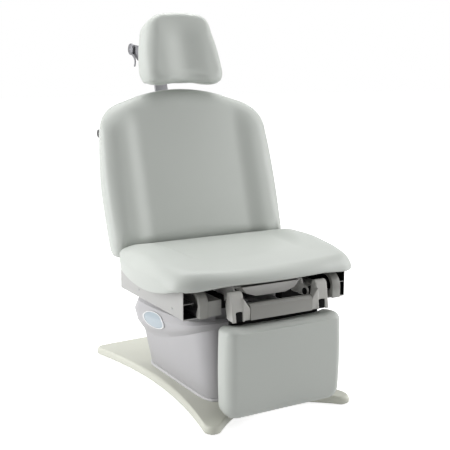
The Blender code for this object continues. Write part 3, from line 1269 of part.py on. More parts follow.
def build_headrest():
    """Glide bar, link, plate, cushion and lock lever of the headrest."""
    lower = (GLIDE_DEPTH, BAR_PIVOT_UP)
    upper = (HEAD_PIVOT_DEPTH, HEAD_PIVOT_UP)
    face = CHEEK_X - SIDE_GAP / 2
    tube = rod("x", lower, [(-face, KNUCKLE_RADIUS), (face, KNUCKLE_RADIUS)])
    deep = GLIDE_THICKNESS / 2
    depth = (GLIDE_DEPTH - deep, GLIDE_DEPTH + deep)
    strip = block((-GLIDE_HALF_WIDTH, GLIDE_HALF_WIDTH), depth, (GLIDE_FOOT, BAR_PIVOT_UP))
    bore = drill("x", lower, (-face, face), HEAD_PIN_RADIUS + RUN_GAP)
    piece("glide_bar", strip, "chrome", "glide_frame", BACK, adds=(tube,), cuts=(bore,))

    cheek = hull(circle(lower, CHEEK_RADIUS) + circle(upper, CHEEK_RADIUS))
    out = CHEEK_X + CHEEK_THICKNESS
    left = prism(cheek, "x", -out, -CHEEK_X)
    right = prism(cheek, "x", CHEEK_X, out)
    sunk = CHEEK_X + CHEEK_THICKNESS / 2
    lower_pin = rod("x", lower, [(HUB_X - HUB_THICKNESS, HEAD_PIN_RADIUS), (sunk, HEAD_PIN_RADIUS)])
    upper_pin = rod("x", upper, [(-sunk, HEAD_PIN_RADIUS), (sunk, HEAD_PIN_RADIUS)])
    piece("head_link", left, "chrome", "head_link_frame", BACK, adds=(lower_pin, upper_pin, right))

    outline = rounded([
        (HEAD_HALF_FOOT, HEAD_FOOT, HEAD_FOOT_CORNER, 0.004),
        (HEAD_HALF_TOP, HEAD_TOP, HEAD_TOP_CORNER, 0.006),
        (-HEAD_HALF_TOP, HEAD_TOP, HEAD_TOP_CORNER, 0.004),
        (-HEAD_HALF_FOOT, HEAD_FOOT, HEAD_FOOT_CORNER, -0.008),
    ], 48)
    centre = Vector((0, (HEAD_FOOT + HEAD_TOP) / 2))
    # the plate fills a pocket in the rear of the cushion
    plate_front = HEAD_REAR - HEAD_PLATE
    plate = prism(drawn_in(outline, centre, HEAD_SKIRT + BOARD_MARGIN), "y", plate_front, HEAD_REAR)
    knuckle = rod("x", upper, [(-face, KNUCKLE_RADIUS), (face, KNUCKLE_RADIUS)])
    root = HEAD_REAR - HEAD_PLATE / 5
    corners = [(root, HEAD_PIVOT_UP - HEAD_STEM), (root, HEAD_PIVOT_UP + HEAD_STEM)]
    stem = prism(hull(corners + circle(upper, HEAD_STEM / 2)), "x", -HEAD_STEM_HALF, HEAD_STEM_HALF)
    bore = drill("x", upper, (-face, face), HEAD_PIN_RADIUS + RUN_GAP)
    piece("head_plate", plate, "black_steel", "head_frame", BACK, adds=(stem, knuckle), cuts=(bore,))

    def front(x, s):
        ends = step(HEAD_TOP, HEAD_TOP - HEAD_VALLEY, s) * step(HEAD_FOOT, HEAD_FOOT + HEAD_EDGE, s)
        return HEAD_FRONT + HEAD_DISH * (1 - step(0.0, HEAD_VALLEY, abs(x))) * ends

    ceiling = plate_front - GAP
    cushion = padding(
        outline, centre, front, lambda x, s: HEAD_REAR, ceiling, -1, HEAD_EDGE, HEAD_SKIRT, HEAD_TUCK,
        lambda u, v, w: (u, w, v),
    )
    piece("head_cushion", cushion, "vinyl", "head_frame", BACK)

    far = HUB_X - HUB_THICKNESS
    hub = rod("x", lower, [(far, HUB_RADIUS * 0.8), (far + 0.004, HUB_RADIUS), (HUB_X, HUB_RADIUS)], 24)
    blade_x = (far + 0.005, HUB_X - 0.005)
    half = LEVER_WIDTH / 2
    shares = [i / 8 for i in range(9)]
    root = HUB_RADIUS * 0.6
    spine = [(LEVER_SWEEP * math.sin(math.pi * t), -root - (LEVER_LENGTH - root) * t) for t in shares]
    edge = [(lower[0] + u - half * (1 - t / 2), lower[1] + v) for (u, v), t in zip(spine, shares)]
    other = [(lower[0] + u + half * (1 - t / 2), lower[1] + v) for (u, v), t in zip(spine, shares)]
    blade = prism(edge + other[::-1], "x", *blade_x)
    bore = drill("x", lower, (far, HUB_X), HEAD_PIN_RADIUS + RUN_GAP)
    piece("lock_lever", hub, "chrome", "lever_frame", BACK, adds=(blade,), cuts=(bore,))


def main():
    """Frames on every joint axis, then the finishes, then the pieces."""
    frame("base_frame", (0, 0, 0))
    frame("mid_frame", (0, MAST_Y, BASE_TOP), "base_frame")
    frame("seat_frame", (0, MAST_Y, CARRIAGE_Z), "base_frame")
    frame("back_frame", HINGE, "seat_frame")
    frame("back_rod_frame", (BACK_CRANK_X, HINGE.y + BACK_CRANK_Y, HINGE.z - BACK_CRANK_Z), "seat_frame")
    frame("leg_frame", (0, LEG_PIVOT_Y, LEG_PIVOT_Z), "seat_frame")
    frame("leg_rod_frame", (CRANK_X, LEG_PIVOT_Y + LEG_CRANK_Y, LEG_PIVOT_Z - LEG_CRANK_Z), "seat_frame")
    frame("pan_frame", (0, PAN_FRONT_Y, PAN_RIM_Z), "seat_frame")
    for hand, side in (("left", -1), ("right", 1)):
        x = side * (STIRRUP_INNER_X + STIRRUP_WIDTH / 2)
        point = (x, STIRRUP_PIVOT_Y, STIRRUP_PIVOT_Z)
        frame(f"stirrup_{hand}_slide_frame", point, "seat_frame")
        frame(f"stirrup_{hand}_fold_frame", point, f"stirrup_{hand}_slide_frame")
    frame("paper_frame", (0, PAPER_ROD_DEPTH, PAPER_ROD_UP), "back_frame", BACK)
    frame("glide_frame", (0, GLIDE_DEPTH, SOCKET_TOP), "back_frame", BACK)
    frame("head_link_frame", (0, GLIDE_DEPTH, BAR_PIVOT_UP), "glide_frame", BACK)
    frame("head_frame", (0, HEAD_PIVOT_DEPTH, HEAD_PIVOT_UP), "head_link_frame", BACK)
    frame("lever_frame", (HUB_X, GLIDE_DEPTH, BAR_PIVOT_UP), "head_link_frame", BACK)

    finish("vinyl", (0.48, 0.51, 0.48), 0.45)
    finish("lilac_grey", (0.40, 0.39, 0.41), 0.42)
    finish("ivory", (0.58, 0.60, 0.50), 0.40)
    finish("panel_grey", (0.61, 0.61, 0.60), 0.45)
    finish("warm_grey", (0.38, 0.38, 0.35), 0.45)
    finish("frame_grey", (0.36, 0.36, 0.34), 0.50)
    finish("trim_grey", (0.62, 0.61, 0.62), 0.40)
    finish("badge_blue", (0.50, 0.60, 0.68), 0.25)
    finish("black_steel", (0.02, 0.02, 0.02), 0.45, 0.3)
    finish("black_plastic", (0.02, 0.02, 0.02), 0.50)
    finish("rubber", (0.03, 0.03, 0.03), 0.80)
    finish("steel", (0.55, 0.55, 0.56), 0.35, 1.0)
    finish("chrome", (0.75, 0.75, 0.76), 0.15, 1.0)
    finish("plywood", (0.45, 0.32, 0.20), 0.70)

    build_base()
    build_mid_stage()
    build_seat_frame()
    build_pan()
    for hand, side in (("left", -1), ("right", 1)):
        build_stirrup(hand, side)
    build_leg()
    build_actuators()
    build_back()
    build_headrest()


main()
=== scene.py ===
"""Looks of the power procedure table: vinyl pads, moulded covers, paint, bright metal, floor and light.

Metres, +Z up. The patient faces -Y. Everything is drawn at the table's lowest, upright position.
Pads, floor plate, column cover, badge, link arm, lock lever, screws and tray lips are made here.
Every other piece is a copy of its CAD node with softened edges.
"""
import json
import math

import bmesh
import bpy
from mathutils import Matrix, Vector
from mathutils.bvhtree import BVHTree


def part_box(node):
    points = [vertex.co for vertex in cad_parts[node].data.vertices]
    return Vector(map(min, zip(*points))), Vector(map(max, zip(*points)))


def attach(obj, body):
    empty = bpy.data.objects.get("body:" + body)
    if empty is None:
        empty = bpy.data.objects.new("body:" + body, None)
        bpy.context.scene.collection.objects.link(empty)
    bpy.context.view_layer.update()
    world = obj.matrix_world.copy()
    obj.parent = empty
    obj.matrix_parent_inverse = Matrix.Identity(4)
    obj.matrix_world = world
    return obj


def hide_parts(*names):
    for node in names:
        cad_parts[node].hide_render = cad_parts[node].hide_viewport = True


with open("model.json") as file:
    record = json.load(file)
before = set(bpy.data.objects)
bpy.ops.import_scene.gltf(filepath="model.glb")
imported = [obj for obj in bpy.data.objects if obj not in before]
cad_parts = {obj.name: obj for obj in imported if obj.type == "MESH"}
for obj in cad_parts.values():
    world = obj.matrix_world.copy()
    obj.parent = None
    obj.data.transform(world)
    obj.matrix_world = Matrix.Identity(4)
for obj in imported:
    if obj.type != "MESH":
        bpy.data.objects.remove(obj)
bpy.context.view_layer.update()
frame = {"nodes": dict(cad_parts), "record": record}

# Camera of the photograph
AIM = Vector((0.0, 0.0222, 0.55))
CAMERA_DISTANCE = 3.26
CAMERA_AZIMUTH = math.radians(-29.5)
CAMERA_ELEVATION = math.radians(11.2)
SENSOR = 36.0
FOCAL_PIXELS = 858.0
PICTURE = 450.0
OPTICAL_CENTRE = (211.0, 237.5)

# Light: place, size across and along, power and what it aims at
LAMPS = {
    "top_box": ((0.5, 0.0, 3.4), 2.6, 2.0, 14.0, (0.0, -0.1, 0.5)),
    "top_rear_box": ((0.0, 0.85, 3.2), 3.0, 1.2, 52.0, (0.0, -0.2, 0.5)),
    "left_strip": ((-3.3, 0.9, 1.3), 1.2, 2.4, 72.0, (0.0, 0.0, 0.6)),
    "left_rear_strip": ((-2.2, 2.6, 1.6), 1.2, 2.4, 17.0, (0.0, 0.0, 0.6)),
    "right_strip": ((3.2, -1.0, 1.5), 1.2, 2.4, 55.0, (0.0, 0.0, 0.7)),
    "right_front_strip": ((2.4, -2.6, 1.6), 1.2, 2.0, 13.0, (0.0, 0.0, 0.7)),
    "low_left_strip": ((-1.7, -1.7, 0.30), 0.9, 0.5, 2.0, (0.0, -0.25, 0.22)),
}
ROOM_LIGHT = 0.31
FLOOR_COLOUR = 0.75
FLOOR_ROUGH = 0.9
FLOOR_GLOW = (0.78, 1.0)
FLOOR_FADE = (1.0, 2.6)
FLOOR_HALF = 30.0

# The table's own middle, and the space of the back: depth behind its front plane, and height up its slope
MIDDLE_Y = 0.0222
BACK_LEAN = math.radians(17)
SEAM = Vector((0.0, 0.0572, 0.550))
LEANING = Matrix.Translation(SEAM) @ Matrix.Rotation(-BACK_LEAN, 4, "X")

# Pads. A roll is how far an edge turns in and down. A span is where something fades in, from none to all.
PAD_POINTS = 216
PAD_LIP = 0.003
PAD_TUCK = 0.004
EDGE_TURNS = 15
FACE_RINGS = 24

# Seat: its rolls change over from the front edge to the sides, and from the sides to the rear edge
SEAT_HALF = 0.373
SEAT_FRONT_Y = -0.4058
SEAT_PEAK_Y = -0.4758
SEAT_REAR_Y = 0.0515
SEAT_REAR_BOW = 0.012
SEAT_SIDE_BOW = 0.010
SEAT_REAR_CORNER = 0.024
SEAT_FRONT_CORNER = 0.092
SEAT_PEAK_BEND = 0.230
SEAT_SKIRT = 0.036
SEAT_UNDERSIDE = 0.4845
SEAT_CEILING = 0.4978
SEAT_TOP = 0.548
SEAT_ROLL = (0.054, 0.050)
SEAT_SIDE_ROLL = (0.034, 0.030)
SEAT_REAR_ROLL = (0.013, 0.015)
SEAT_SIDE_SPAN = (0.01, 0.16)
SEAT_REAR_SPAN = (0.05, 0.005)
SEAT_BOLSTER = 0.0225
SEAT_BOLSTER_IN = 0.246
SEAT_BOLSTER_NARROWS = 0.070
SEAT_BOLSTER_SLOPE = 0.050
SEAT_BOLSTER_REAR_SPAN = (0.07, -0.07)
SEAT_BOLSTER_FRONT_SPAN = (-0.34, -0.14)
SEAT_CREST = 0.292
SEAT_SIDE_FALL = 0.046
SEAT_SIDE_FLATTER = 0.6
SEAT_FLAT_REAR_SPAN = (-0.08, 0.05)
SEAT_FALL = 0.024
SEAT_FALL_START = 0.2
SEAT_DROOP = 0.044
SEAT_DROOP_REAR = 0.62
SEAT_DROOP_FRONT = 0.5
SEAT_FRONT_DROP = -0.002
SEAT_CORNER_DROP = 0.016
SEAT_CORNER_SPAN = (0.14, 0.36)
PANEL_X = 0.330
PANEL_FRONT_Y = -0.3748
PANEL_CLEAR_SPAN = (0.004, 0.020)

# Back, in its leaning space
BACK_HALF = 0.370
BACK_TOP_HALF = 0.360
BACK_FOOT = -0.014
BACK_SHOULDER = 0.513
BACK_PEAK = 0.628
BACK_THICK = 0.090
BACK_POCKET = 0.0767
BACK_SKIRT = 0.038
BACK_FOOT_CORNER = 0.064
BACK_SHOULDER_CORNER = 0.100
BACK_PEAK_BEND = 0.230
BACK_SIDE_BOW = 0.006
BACK_ROLL = (0.068, 0.048)
BACK_HOLLOW = 0.017
BACK_CROWN = 0.005
BACK_LIP = 0.005
BACK_LIP_RISE = 0.10
BACK_LIP_DEPTH = 0.02
BACK_EAR = 0.038
BACK_EAR_SPAN = (0.322, 0.350)
BACK_EAR_RISE = (0.14, 0.02)
BACK_TAPER = 0.035
BACK_TAPER_SPAN = (0.20, 0.50)
BACK_TAPER_DEPTH = 0.03
BOLSTER_SPAN = (0.206, 0.286)
BOLSTER_TOP = 0.42
BOLSTER_RUN_OUT = 0.04

# Leg section
LEG_HALF = 0.2285
LEG_FOOT = 0.043
LEG_TOP = 0.361
LEG_FRONT_Y = -0.5078
LEG_THICK = 0.086
LEG_POCKET = 0.0123
LEG_SKIRT = 0.028
LEG_TUCK = 0.005
LEG_FOOT_CORNER = 0.046
LEG_TOP_CORNER = 0.030
LEG_BOW = 0.003
LEG_CROWN = 0.004
LEG_ROLL = (0.034, 0.034)
LEG_SINK = 0.013
LEG_SINK_SPAN = (0.83, 0.96)
LEG_PUFF = 0.65
LEG_PUFF_SPAN = (0.15, 0.21)

# Headrest, in the leaning space of the back
HEAD_FOOT = 0.581
HEAD_TOP = 0.868
HEAD_HALF_FOOT = 0.177
HEAD_HALF_TOP = 0.132
HEAD_FOOT_CORNER = 0.074
HEAD_TOP_CORNER = 0.076
HEAD_BOW = 0.004
HEAD_FOOT_BOW = -0.010
HEAD_LEAN = 0.24
HEAD_EDGE_SPAN = (0.74, 0.94)
HEAD_FRONT = -0.050
HEAD_REAR = 0.050
HEAD_POCKET = 0.0447
HEAD_SKIRT = 0.034
HEAD_ROLL = (0.048, 0.044)
HEAD_TOP_ROLL = (0.024, 0.026)
HEAD_CREST = 0.07
HEAD_HOLLOW = 0.016
HEAD_VALLEY = 0.098
HEAD_VALLEY_TOP = 0.13
HEAD_VALLEY_FOOT = 0.07

# Headrest link and lock lever: depth and height of the two pivots in the space of the back
LINK_PIVOT = Vector((0.2018, 0.7999))
HEAD_PIVOT = Vector((0.1050, 0.7350))
LINK_ARM_X = (-0.1035, -0.0965)
LINK_ARM_RADII = (0.0185, 0.0400)
LINK_CHAMFER = 0.0012
HUB_X = -0.1045
HUB_PROFILE = ((0.0072, 0.0068), (0.0, 0.0068), (0.0, 0.0215), (0.0015, 0.0230), (0.0065, 0.0230),
               (0.0095, 0.0210), (0.0110, 0.0165), (0.0105, 0.0110), (0.0120, 0.0090), (0.0125, 0.0040))
LEVER_CURVE = (Vector((0.004, -0.014)), Vector((-0.040, -0.050)), Vector((-0.010, -0.074)))
LEVER_STEPS = 20
LEVER_HALF = 0.0062
LEVER_NARROWS = 0.0028
LEVER_TIP = 0.75
LEVER_DEPTH = 0.0050
LEVER_THICK = 0.0030

# Floor plate
PLATE_FOOT = 0.006
PLATE_THICK = 0.028
PLATE_HALF = 0.295
PLATE_WAIST = 0.238
PLATE_FRONT_Y = -0.508
PLATE_REAR_Y = 0.4856
LOBE = 0.030
REAR_BOW = math.radians(5)
PLATE_EDGE = 0.016
PLATE_DROP = 0.019
PLATE_FLAT = 1.6
PLATE_FOOT_CHAMFER = (0.004, 0.003)

# Column cover: each level's height at its front and rear, half-width, front, rear and corner
COVER_LEVELS = (
    (0.0440, 0.0440, 0.1871, -0.3340, 0.1970, 0.0800),
    (0.1500, 0.1001, 0.1971, -0.3320, 0.2051, 0.0860),
    (0.3031, 0.1779, 0.2119, -0.3280, 0.2171, 0.0941),
    (0.3149, 0.2149, 0.2340, -0.3310, 0.2420, 0.1051),
    (0.3219, 0.2590, 0.2430, -0.3330, 0.2510, 0.1100),
    (0.3270, 0.2960, 0.2330, -0.3270, 0.2390, 0.1100),
    (0.3290, 0.3110, 0.2040, -0.3120, 0.2071, 0.1000),
)
COVER_POINTS = 128
COVER_WALL = 0.004
COVER_EDGE = 0.0012
INLET_GAP = 0.0006
SWEEP_REAR_Y = 0.10
SWEEP_EASE = 1.45
BADGE_LENGTH = 0.174
BADGE_HEIGHT = 0.064
BADGE_Y = 0.010
BADGE_Z = 0.257
BADGE_TILT = 0.08
BADGE_SQUARENESS = 0.9
BADGE_FOOT = 0.0012
BADGE_FACE = 0.0028
BADGE_FIELD = (0.08, 0.2, 0.35, 0.5, 0.65, 0.8)
BADGE_FIELD_EDGE = 0.90
BADGE_RIM = ((0.88, BADGE_FOOT), (0.88, 0.0030), (0.91, 0.0042), (0.95, 0.0046), (0.99, 0.0040),
             (1.0, BADGE_FOOT))
DOOR_HALF = 0.140
DOOR_FOOT = 0.052
DOOR_HEAD = 0.296
DOOR_SEAM = 0.0012

# Screws: along and up on the side panels, across and up on the rear of the back
PANEL_SCREWS = ((-0.0354, 0.4007), (-0.2973, 0.3948))
PANEL_SCREW_RADIUS = 0.0048
REAR_SCREWS = ((-0.26, 0.06), (0.26, 0.06), (-0.27, 0.25), (0.27, 0.25), (-0.24, 0.43), (0.24, 0.43))
REAR_SCREW_RADIUS = 0.0055
TRAY_LIP_RADIUS = 0.0022
PANEL_SKIN = 0.0008


# ---------------------------------------------------------------- shapes

def step(low, high, value):
    """A smooth step from 0 at low to 1 at high."""
    t = min(max((value - low) / (high - low), 0.0), 1.0)
    return t * t * (3 - 2 * t)


def bend(start, control, end, steps):
    """Points along a quadratic curve, without its last one."""
    shares = [i / steps for i in range(steps)]
    return [start * (1 - t) ** 2 + control * 2 * t * (1 - t) + end * t * t for t in shares]


def spaced(path, count):
    """Points spread evenly by length along a closed path."""
    loop = path + path[:1]
    runs = [(b - a).length for a, b in zip(loop, loop[1:])]
    stride = sum(runs) / count
    points, travelled, at = [], 0.0, 0
    for i in range(count):
        while travelled + runs[at] < i * stride:
            travelled += runs[at]
            at += 1
        share = (i * stride - travelled) / runs[at]
        points.append(loop[at].lerp(loop[at + 1], share))
    return points


def rounded(corners, count):
    """An outline from corners (u, v, radius, bow of the edge after it), turning left."""
    total = len(corners)
    turns, edges = [], []
    for i, (u, v, radius, bow) in enumerate(corners):
        here = Vector((u, v))
        before = Vector(corners[i - 1][:2])
        after = Vector(corners[(i + 1) % total][:2])
        run = (after - here).normalized()
        start = here + (before - here).normalized() * radius
        end = here + run * radius
        stop = after - run * corners[(i + 1) % total][2]
        turns.append(bend(start, here, end, 24))
        outward = Vector((run.y, -run.x))
        shares = [k / 24 for k in range(24)]
        edges.append([end.lerp(stop, t) + outward * bow * 4 * t * (1 - t) for t in shares])
    half = len(edges[-1]) // 2
    path = edges[-1][half:]
    for turn, edge in zip(turns, edges):
        path = path + turn + edge
    return spaced(path[:-half], count)


def mixed(first, second, share):
    """A row of numbers part of the way from one row to another."""
    return tuple(a + (b - a) * share for a, b in zip(first, second))


def moved_in(point, centre, distance):
    """A point moved towards a centre by a distance."""
    return point + (centre - point).normalized() * distance


def drawn_in(outline, centre, distance):
    """An outline moved towards its centre by a distance."""
    return [moved_in(p, centre, distance) for p in outline]


def skin(rings, loop=False, tip=None):
    """A closed mesh through rings of points: looped, or capped, with an optional raised tip."""
    bm = bmesh.new()
    rows = [[bm.verts.new(point) for point in ring] for ring in rings]
    count = len(rows[0])
    for low, high in zip(rows, rows[1:] + rows[:1] if loop else rows[1:]):
        for i in range(count):
            j = (i + 1) % count
            bm.faces.new((low[i], low[j], high[j], high[i]))
    if not loop:
        bm.faces.new(rows[0])
        if tip is None:
            bm.faces.new(rows[-1])
        else:
            top = bm.verts.new(tip)
            for i in range(count):
                bm.faces.new((rows[-1][i], rows[-1][(i + 1) % count], top))
    bmesh.ops.recalc_face_normals(bm, faces=bm.faces)
    return bm


def turned(stations, count=24):
    """A piece turned about Z, as stations of height and radius, closed at both ends."""
    angles = [2 * math.pi * i / count for i in range(count)]
    rings = [[(r * math.cos(a), r * math.sin(a), z) for a in angles] for z, r in stations]
    return skin(rings)


def block(low, high):
    """A plain cutter between two corners."""
    ring = [(low[0], low[1]), (high[0], low[1]), (high[0], high[1]), (low[0], high[1])]
    return skin([[(x, y, z) for x, y in ring] for z in (low[2], high[2])])


def made(name, bm, look):
    """An object from a mesh, smooth shaded, in a finish."""
    mesh = bpy.data.meshes.new(name)
    bm.to_mesh(mesh)
    bm.free()
    mesh.polygons.foreach_set("use_smooth", [True] * len(mesh.polygons))
    thing = bpy.data.objects.new(name, mesh)
    bpy.context.scene.collection.objects.link(thing)
    mesh.materials.append(looks[look])
    return thing


def cut(thing, shape, how):
    """Cuts or keeps part of an object with a shape, for good."""
    tool = made("cutter", shape, "black_steel")
    boolean = thing.modifiers.new("cut", "BOOLEAN")
    boolean.operation = how
    boolean.solver = "EXACT"
    boolean.object = tool
    settled(thing)
    bpy.data.objects.remove(tool, do_unlink=True)


def settled(thing):
    """Turns an object's modifiers into its mesh."""
    view = bpy.context.evaluated_depsgraph_get()
    mesh = bpy.data.meshes.new_from_object(thing.evaluated_get(view))
    old = thing.data
    thing.modifiers.clear()
    thing.data = mesh
    bpy.data.meshes.remove(old)


def eased(thing, radius, steps=2, angle=28):
    """Rounds an object's sharp edges."""
    bevel = thing.modifiers.new("eased_edges", "BEVEL")
    bevel.width = radius
    bevel.segments = steps
    bevel.limit_method = "ANGLE"
    bevel.angle_limit = math.radians(angle)
    bevel.harden_normals = True
    return thing


def fitted(thing, body, slot, *nodes):
    """Hangs a finished piece on its body, in place of the CAD nodes it stands for."""
    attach(thing, body)
    if nodes:
        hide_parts(*nodes)
    return thing


# ---------------------------------------------------------------- finishes

def group(name, inputs, outputs):
    """An empty shader node group with its sockets, its input node and its output node."""
    tree = bpy.data.node_groups.new(name, "ShaderNodeTree")
    for label, kind, value in inputs:
        socket = tree.interface.new_socket(name=label, in_out="INPUT", socket_type=kind)
        socket.default_value = value
    for label, kind in outputs:
        tree.interface.new_socket(name=label, in_out="OUTPUT", socket_type=kind)
    return tree, tree.nodes.new("NodeGroupInput"), tree.nodes.new("NodeGroupOutput")


def noise(tree, scale, detail=3.0, roughness=0.5):
    """A noise over the object's own coordinates. Scale is a socket or a number."""
    place = tree.nodes.new("ShaderNodeTexCoord")
    texture = tree.nodes.new("ShaderNodeTexNoise")
    texture.inputs["Detail"].default_value = detail
    texture.inputs["Roughness"].default_value = roughness
    tree.links.new(place.outputs["Object"], texture.inputs["Vector"])
    if isinstance(scale, (int, float)):
        texture.inputs["Scale"].default_value = scale
    else:
        tree.links.new(scale, texture.inputs["Scale"])
    return texture.outputs["Fac"]


def maths(tree, how, first, second):
    """One step of arithmetic on sockets or numbers."""
    node = tree.nodes.new("ShaderNodeMath")
    node.operation = how
    for socket, value in zip(node.inputs, (first, second)):
        if isinstance(value, (int, float)):
            socket.default_value = value
        else:
            tree.links.new(value, socket)
    return node.outputs[0]


def tone_group():
    """A colour that drifts lighter and darker in soft patches."""
    tree, given, out = group(
        "tone_drift",
        [("Colour", "NodeSocketColor", (0.5, 0.5, 0.5, 1)), ("Scale", "NodeSocketFloat", 4.0),
         ("Drift", "NodeSocketFloat", 0.05)],
        [("Colour", "NodeSocketColor")],
    )
    centred = maths(tree, "SUBTRACT", noise(tree, given.outputs["Scale"], 4.0), 0.5)
    gain = maths(tree, "ADD", maths(tree, "MULTIPLY", centred, given.outputs["Drift"]), 1.0)
    scaled = tree.nodes.new("ShaderNodeVectorMath")
    scaled.operation = "SCALE"
    tree.links.new(given.outputs["Colour"], scaled.inputs[0])
    tree.links.new(gain, scaled.inputs["Scale"])
    tree.links.new(scaled.outputs[0], out.inputs["Colour"])
    return tree


def polish_group():
    """A roughness that changes in soft smears."""
    tree, given, out = group(
        "polish_smear",
        [("Middle", "NodeSocketFloat", 0.4), ("Spread", "NodeSocketFloat", 0.1),
         ("Scale", "NodeSocketFloat", 9.0)],
        [("Roughness", "NodeSocketFloat")],
    )
    centred = maths(tree, "SUBTRACT", noise(tree, given.outputs["Scale"], 5.0, 0.6), 0.5)
    spread = maths(tree, "MULTIPLY", centred, given.outputs["Spread"])
    tree.links.new(maths(tree, "ADD", spread, given.outputs["Middle"]), out.inputs["Roughness"])
    return tree


def hide_group():
    """The height of embossed vinyl: small pebbles with fine creases between them."""
    tree, given, out = group(
        "vinyl_pebble", [("Scale", "NodeSocketFloat", 900.0)], [("Height", "NodeSocketFloat")]
    )
    place = tree.nodes.new("ShaderNodeTexCoord")
    cells = tree.nodes.new("ShaderNodeTexVoronoi")
    cells.feature = "SMOOTH_F1"
    tree.links.new(place.outputs["Object"], cells.inputs["Vector"])
    tree.links.new(given.outputs["Scale"], cells.inputs["Scale"])
    soft = noise(tree, maths(tree, "MULTIPLY", given.outputs["Scale"], 0.4), 2.0)
    height = maths(tree, "ADD", cells.outputs["Distance"], maths(tree, "MULTIPLY", soft, 0.5))
    tree.links.new(height, out.inputs["Height"])
    return tree


def stipple_group():
    """The height of moulded or powder-coated skin: a fine orange peel."""
    tree, given, out = group(
        "fine_stipple", [("Scale", "NodeSocketFloat", 700.0)], [("Height", "NodeSocketFloat")]
    )
    tree.links.new(noise(tree, given.outputs["Scale"], 3.0, 0.6), out.inputs["Height"])
    return tree


def edge_highlight_group():
    """A mask of the outer edges, where a lighter colour is laid on as a painted highlight."""
    tree, given, out = group(
        "painted_edge_highlight", [("Start", "NodeSocketFloat", 0.53), ("End", "NodeSocketFloat", 0.60)],
        [("Mask", "NodeSocketFloat")],
    )
    surface = tree.nodes.new("ShaderNodeNewGeometry")
    ramp = tree.nodes.new("ShaderNodeMapRange")
    tree.links.new(surface.outputs["Pointiness"], ramp.inputs["Value"])
    tree.links.new(given.outputs["Start"], ramp.inputs["From Min"])
    tree.links.new(given.outputs["End"], ramp.inputs["From Max"])
    tree.links.new(ramp.outputs[0], out.inputs["Mask"])
    return tree


GROUPS = {
    "tone": tone_group(), "polish": polish_group(), "hide": hide_group(),
    "stipple": stipple_group(), "edge": edge_highlight_group(),
}
COAT_ROUGH = 0.25


def placed(tree, name, **values):
    """One of the shared groups in a material, with its own values."""
    node = tree.nodes.new("ShaderNodeGroup")
    node.node_tree = GROUPS[name]
    for label, value in values.items():
        node.inputs[label].default_value = value
    return node


def finish(name, colour, rough, metallic=0.0, drift=0.06, patch=5.0, smear=0.10, relief="stipple",
           relief_scale=700.0, relief_depth=0.00006, edge=None, coat=0.0, shine=0.5):
    """A material of drifting colour, smeared polish and fine relief, with edges in a second, lighter colour
    as a painted highlight.
    """
    look = bpy.data.materials.new(name)
    look.use_nodes = True
    look.diffuse_color = (*colour, 1)
    tree = look.node_tree
    shader = tree.nodes["Principled BSDF"]
    shader.inputs["Metallic"].default_value = metallic
    shader.inputs["Specular IOR Level"].default_value = shine
    shader.inputs["Coat Weight"].default_value = coat
    shader.inputs["Coat Roughness"].default_value = COAT_ROUGH
    tone = placed(tree, "tone", Colour=(*colour, 1), Scale=patch, Drift=drift)
    shade = tone.outputs["Colour"]
    # edge is the lighter colour of a painted highlight along the outer edges
    if edge:
        mask = placed(tree, "edge")
        mix = tree.nodes.new("ShaderNodeMix")
        mix.data_type = "RGBA"
        mix.inputs["B"].default_value = (*edge, 1)
        tree.links.new(mask.outputs["Mask"], mix.inputs["Factor"])
        tree.links.new(shade, mix.inputs["A"])
        shade = mix.outputs["Result"]
    tree.links.new(shade, shader.inputs["Base Color"])
    polish = placed(tree, "polish", Middle=rough, Spread=smear)
    tree.links.new(polish.outputs["Roughness"], shader.inputs["Roughness"])
    texture = placed(tree, relief, Scale=relief_scale)
    bump = tree.nodes.new("ShaderNodeBump")
    bump.inputs["Distance"].default_value = relief_depth
    tree.links.new(texture.outputs["Height"], bump.inputs["Height"])
    tree.links.new(bump.outputs["Normal"], shader.inputs["Normal"])
    return look


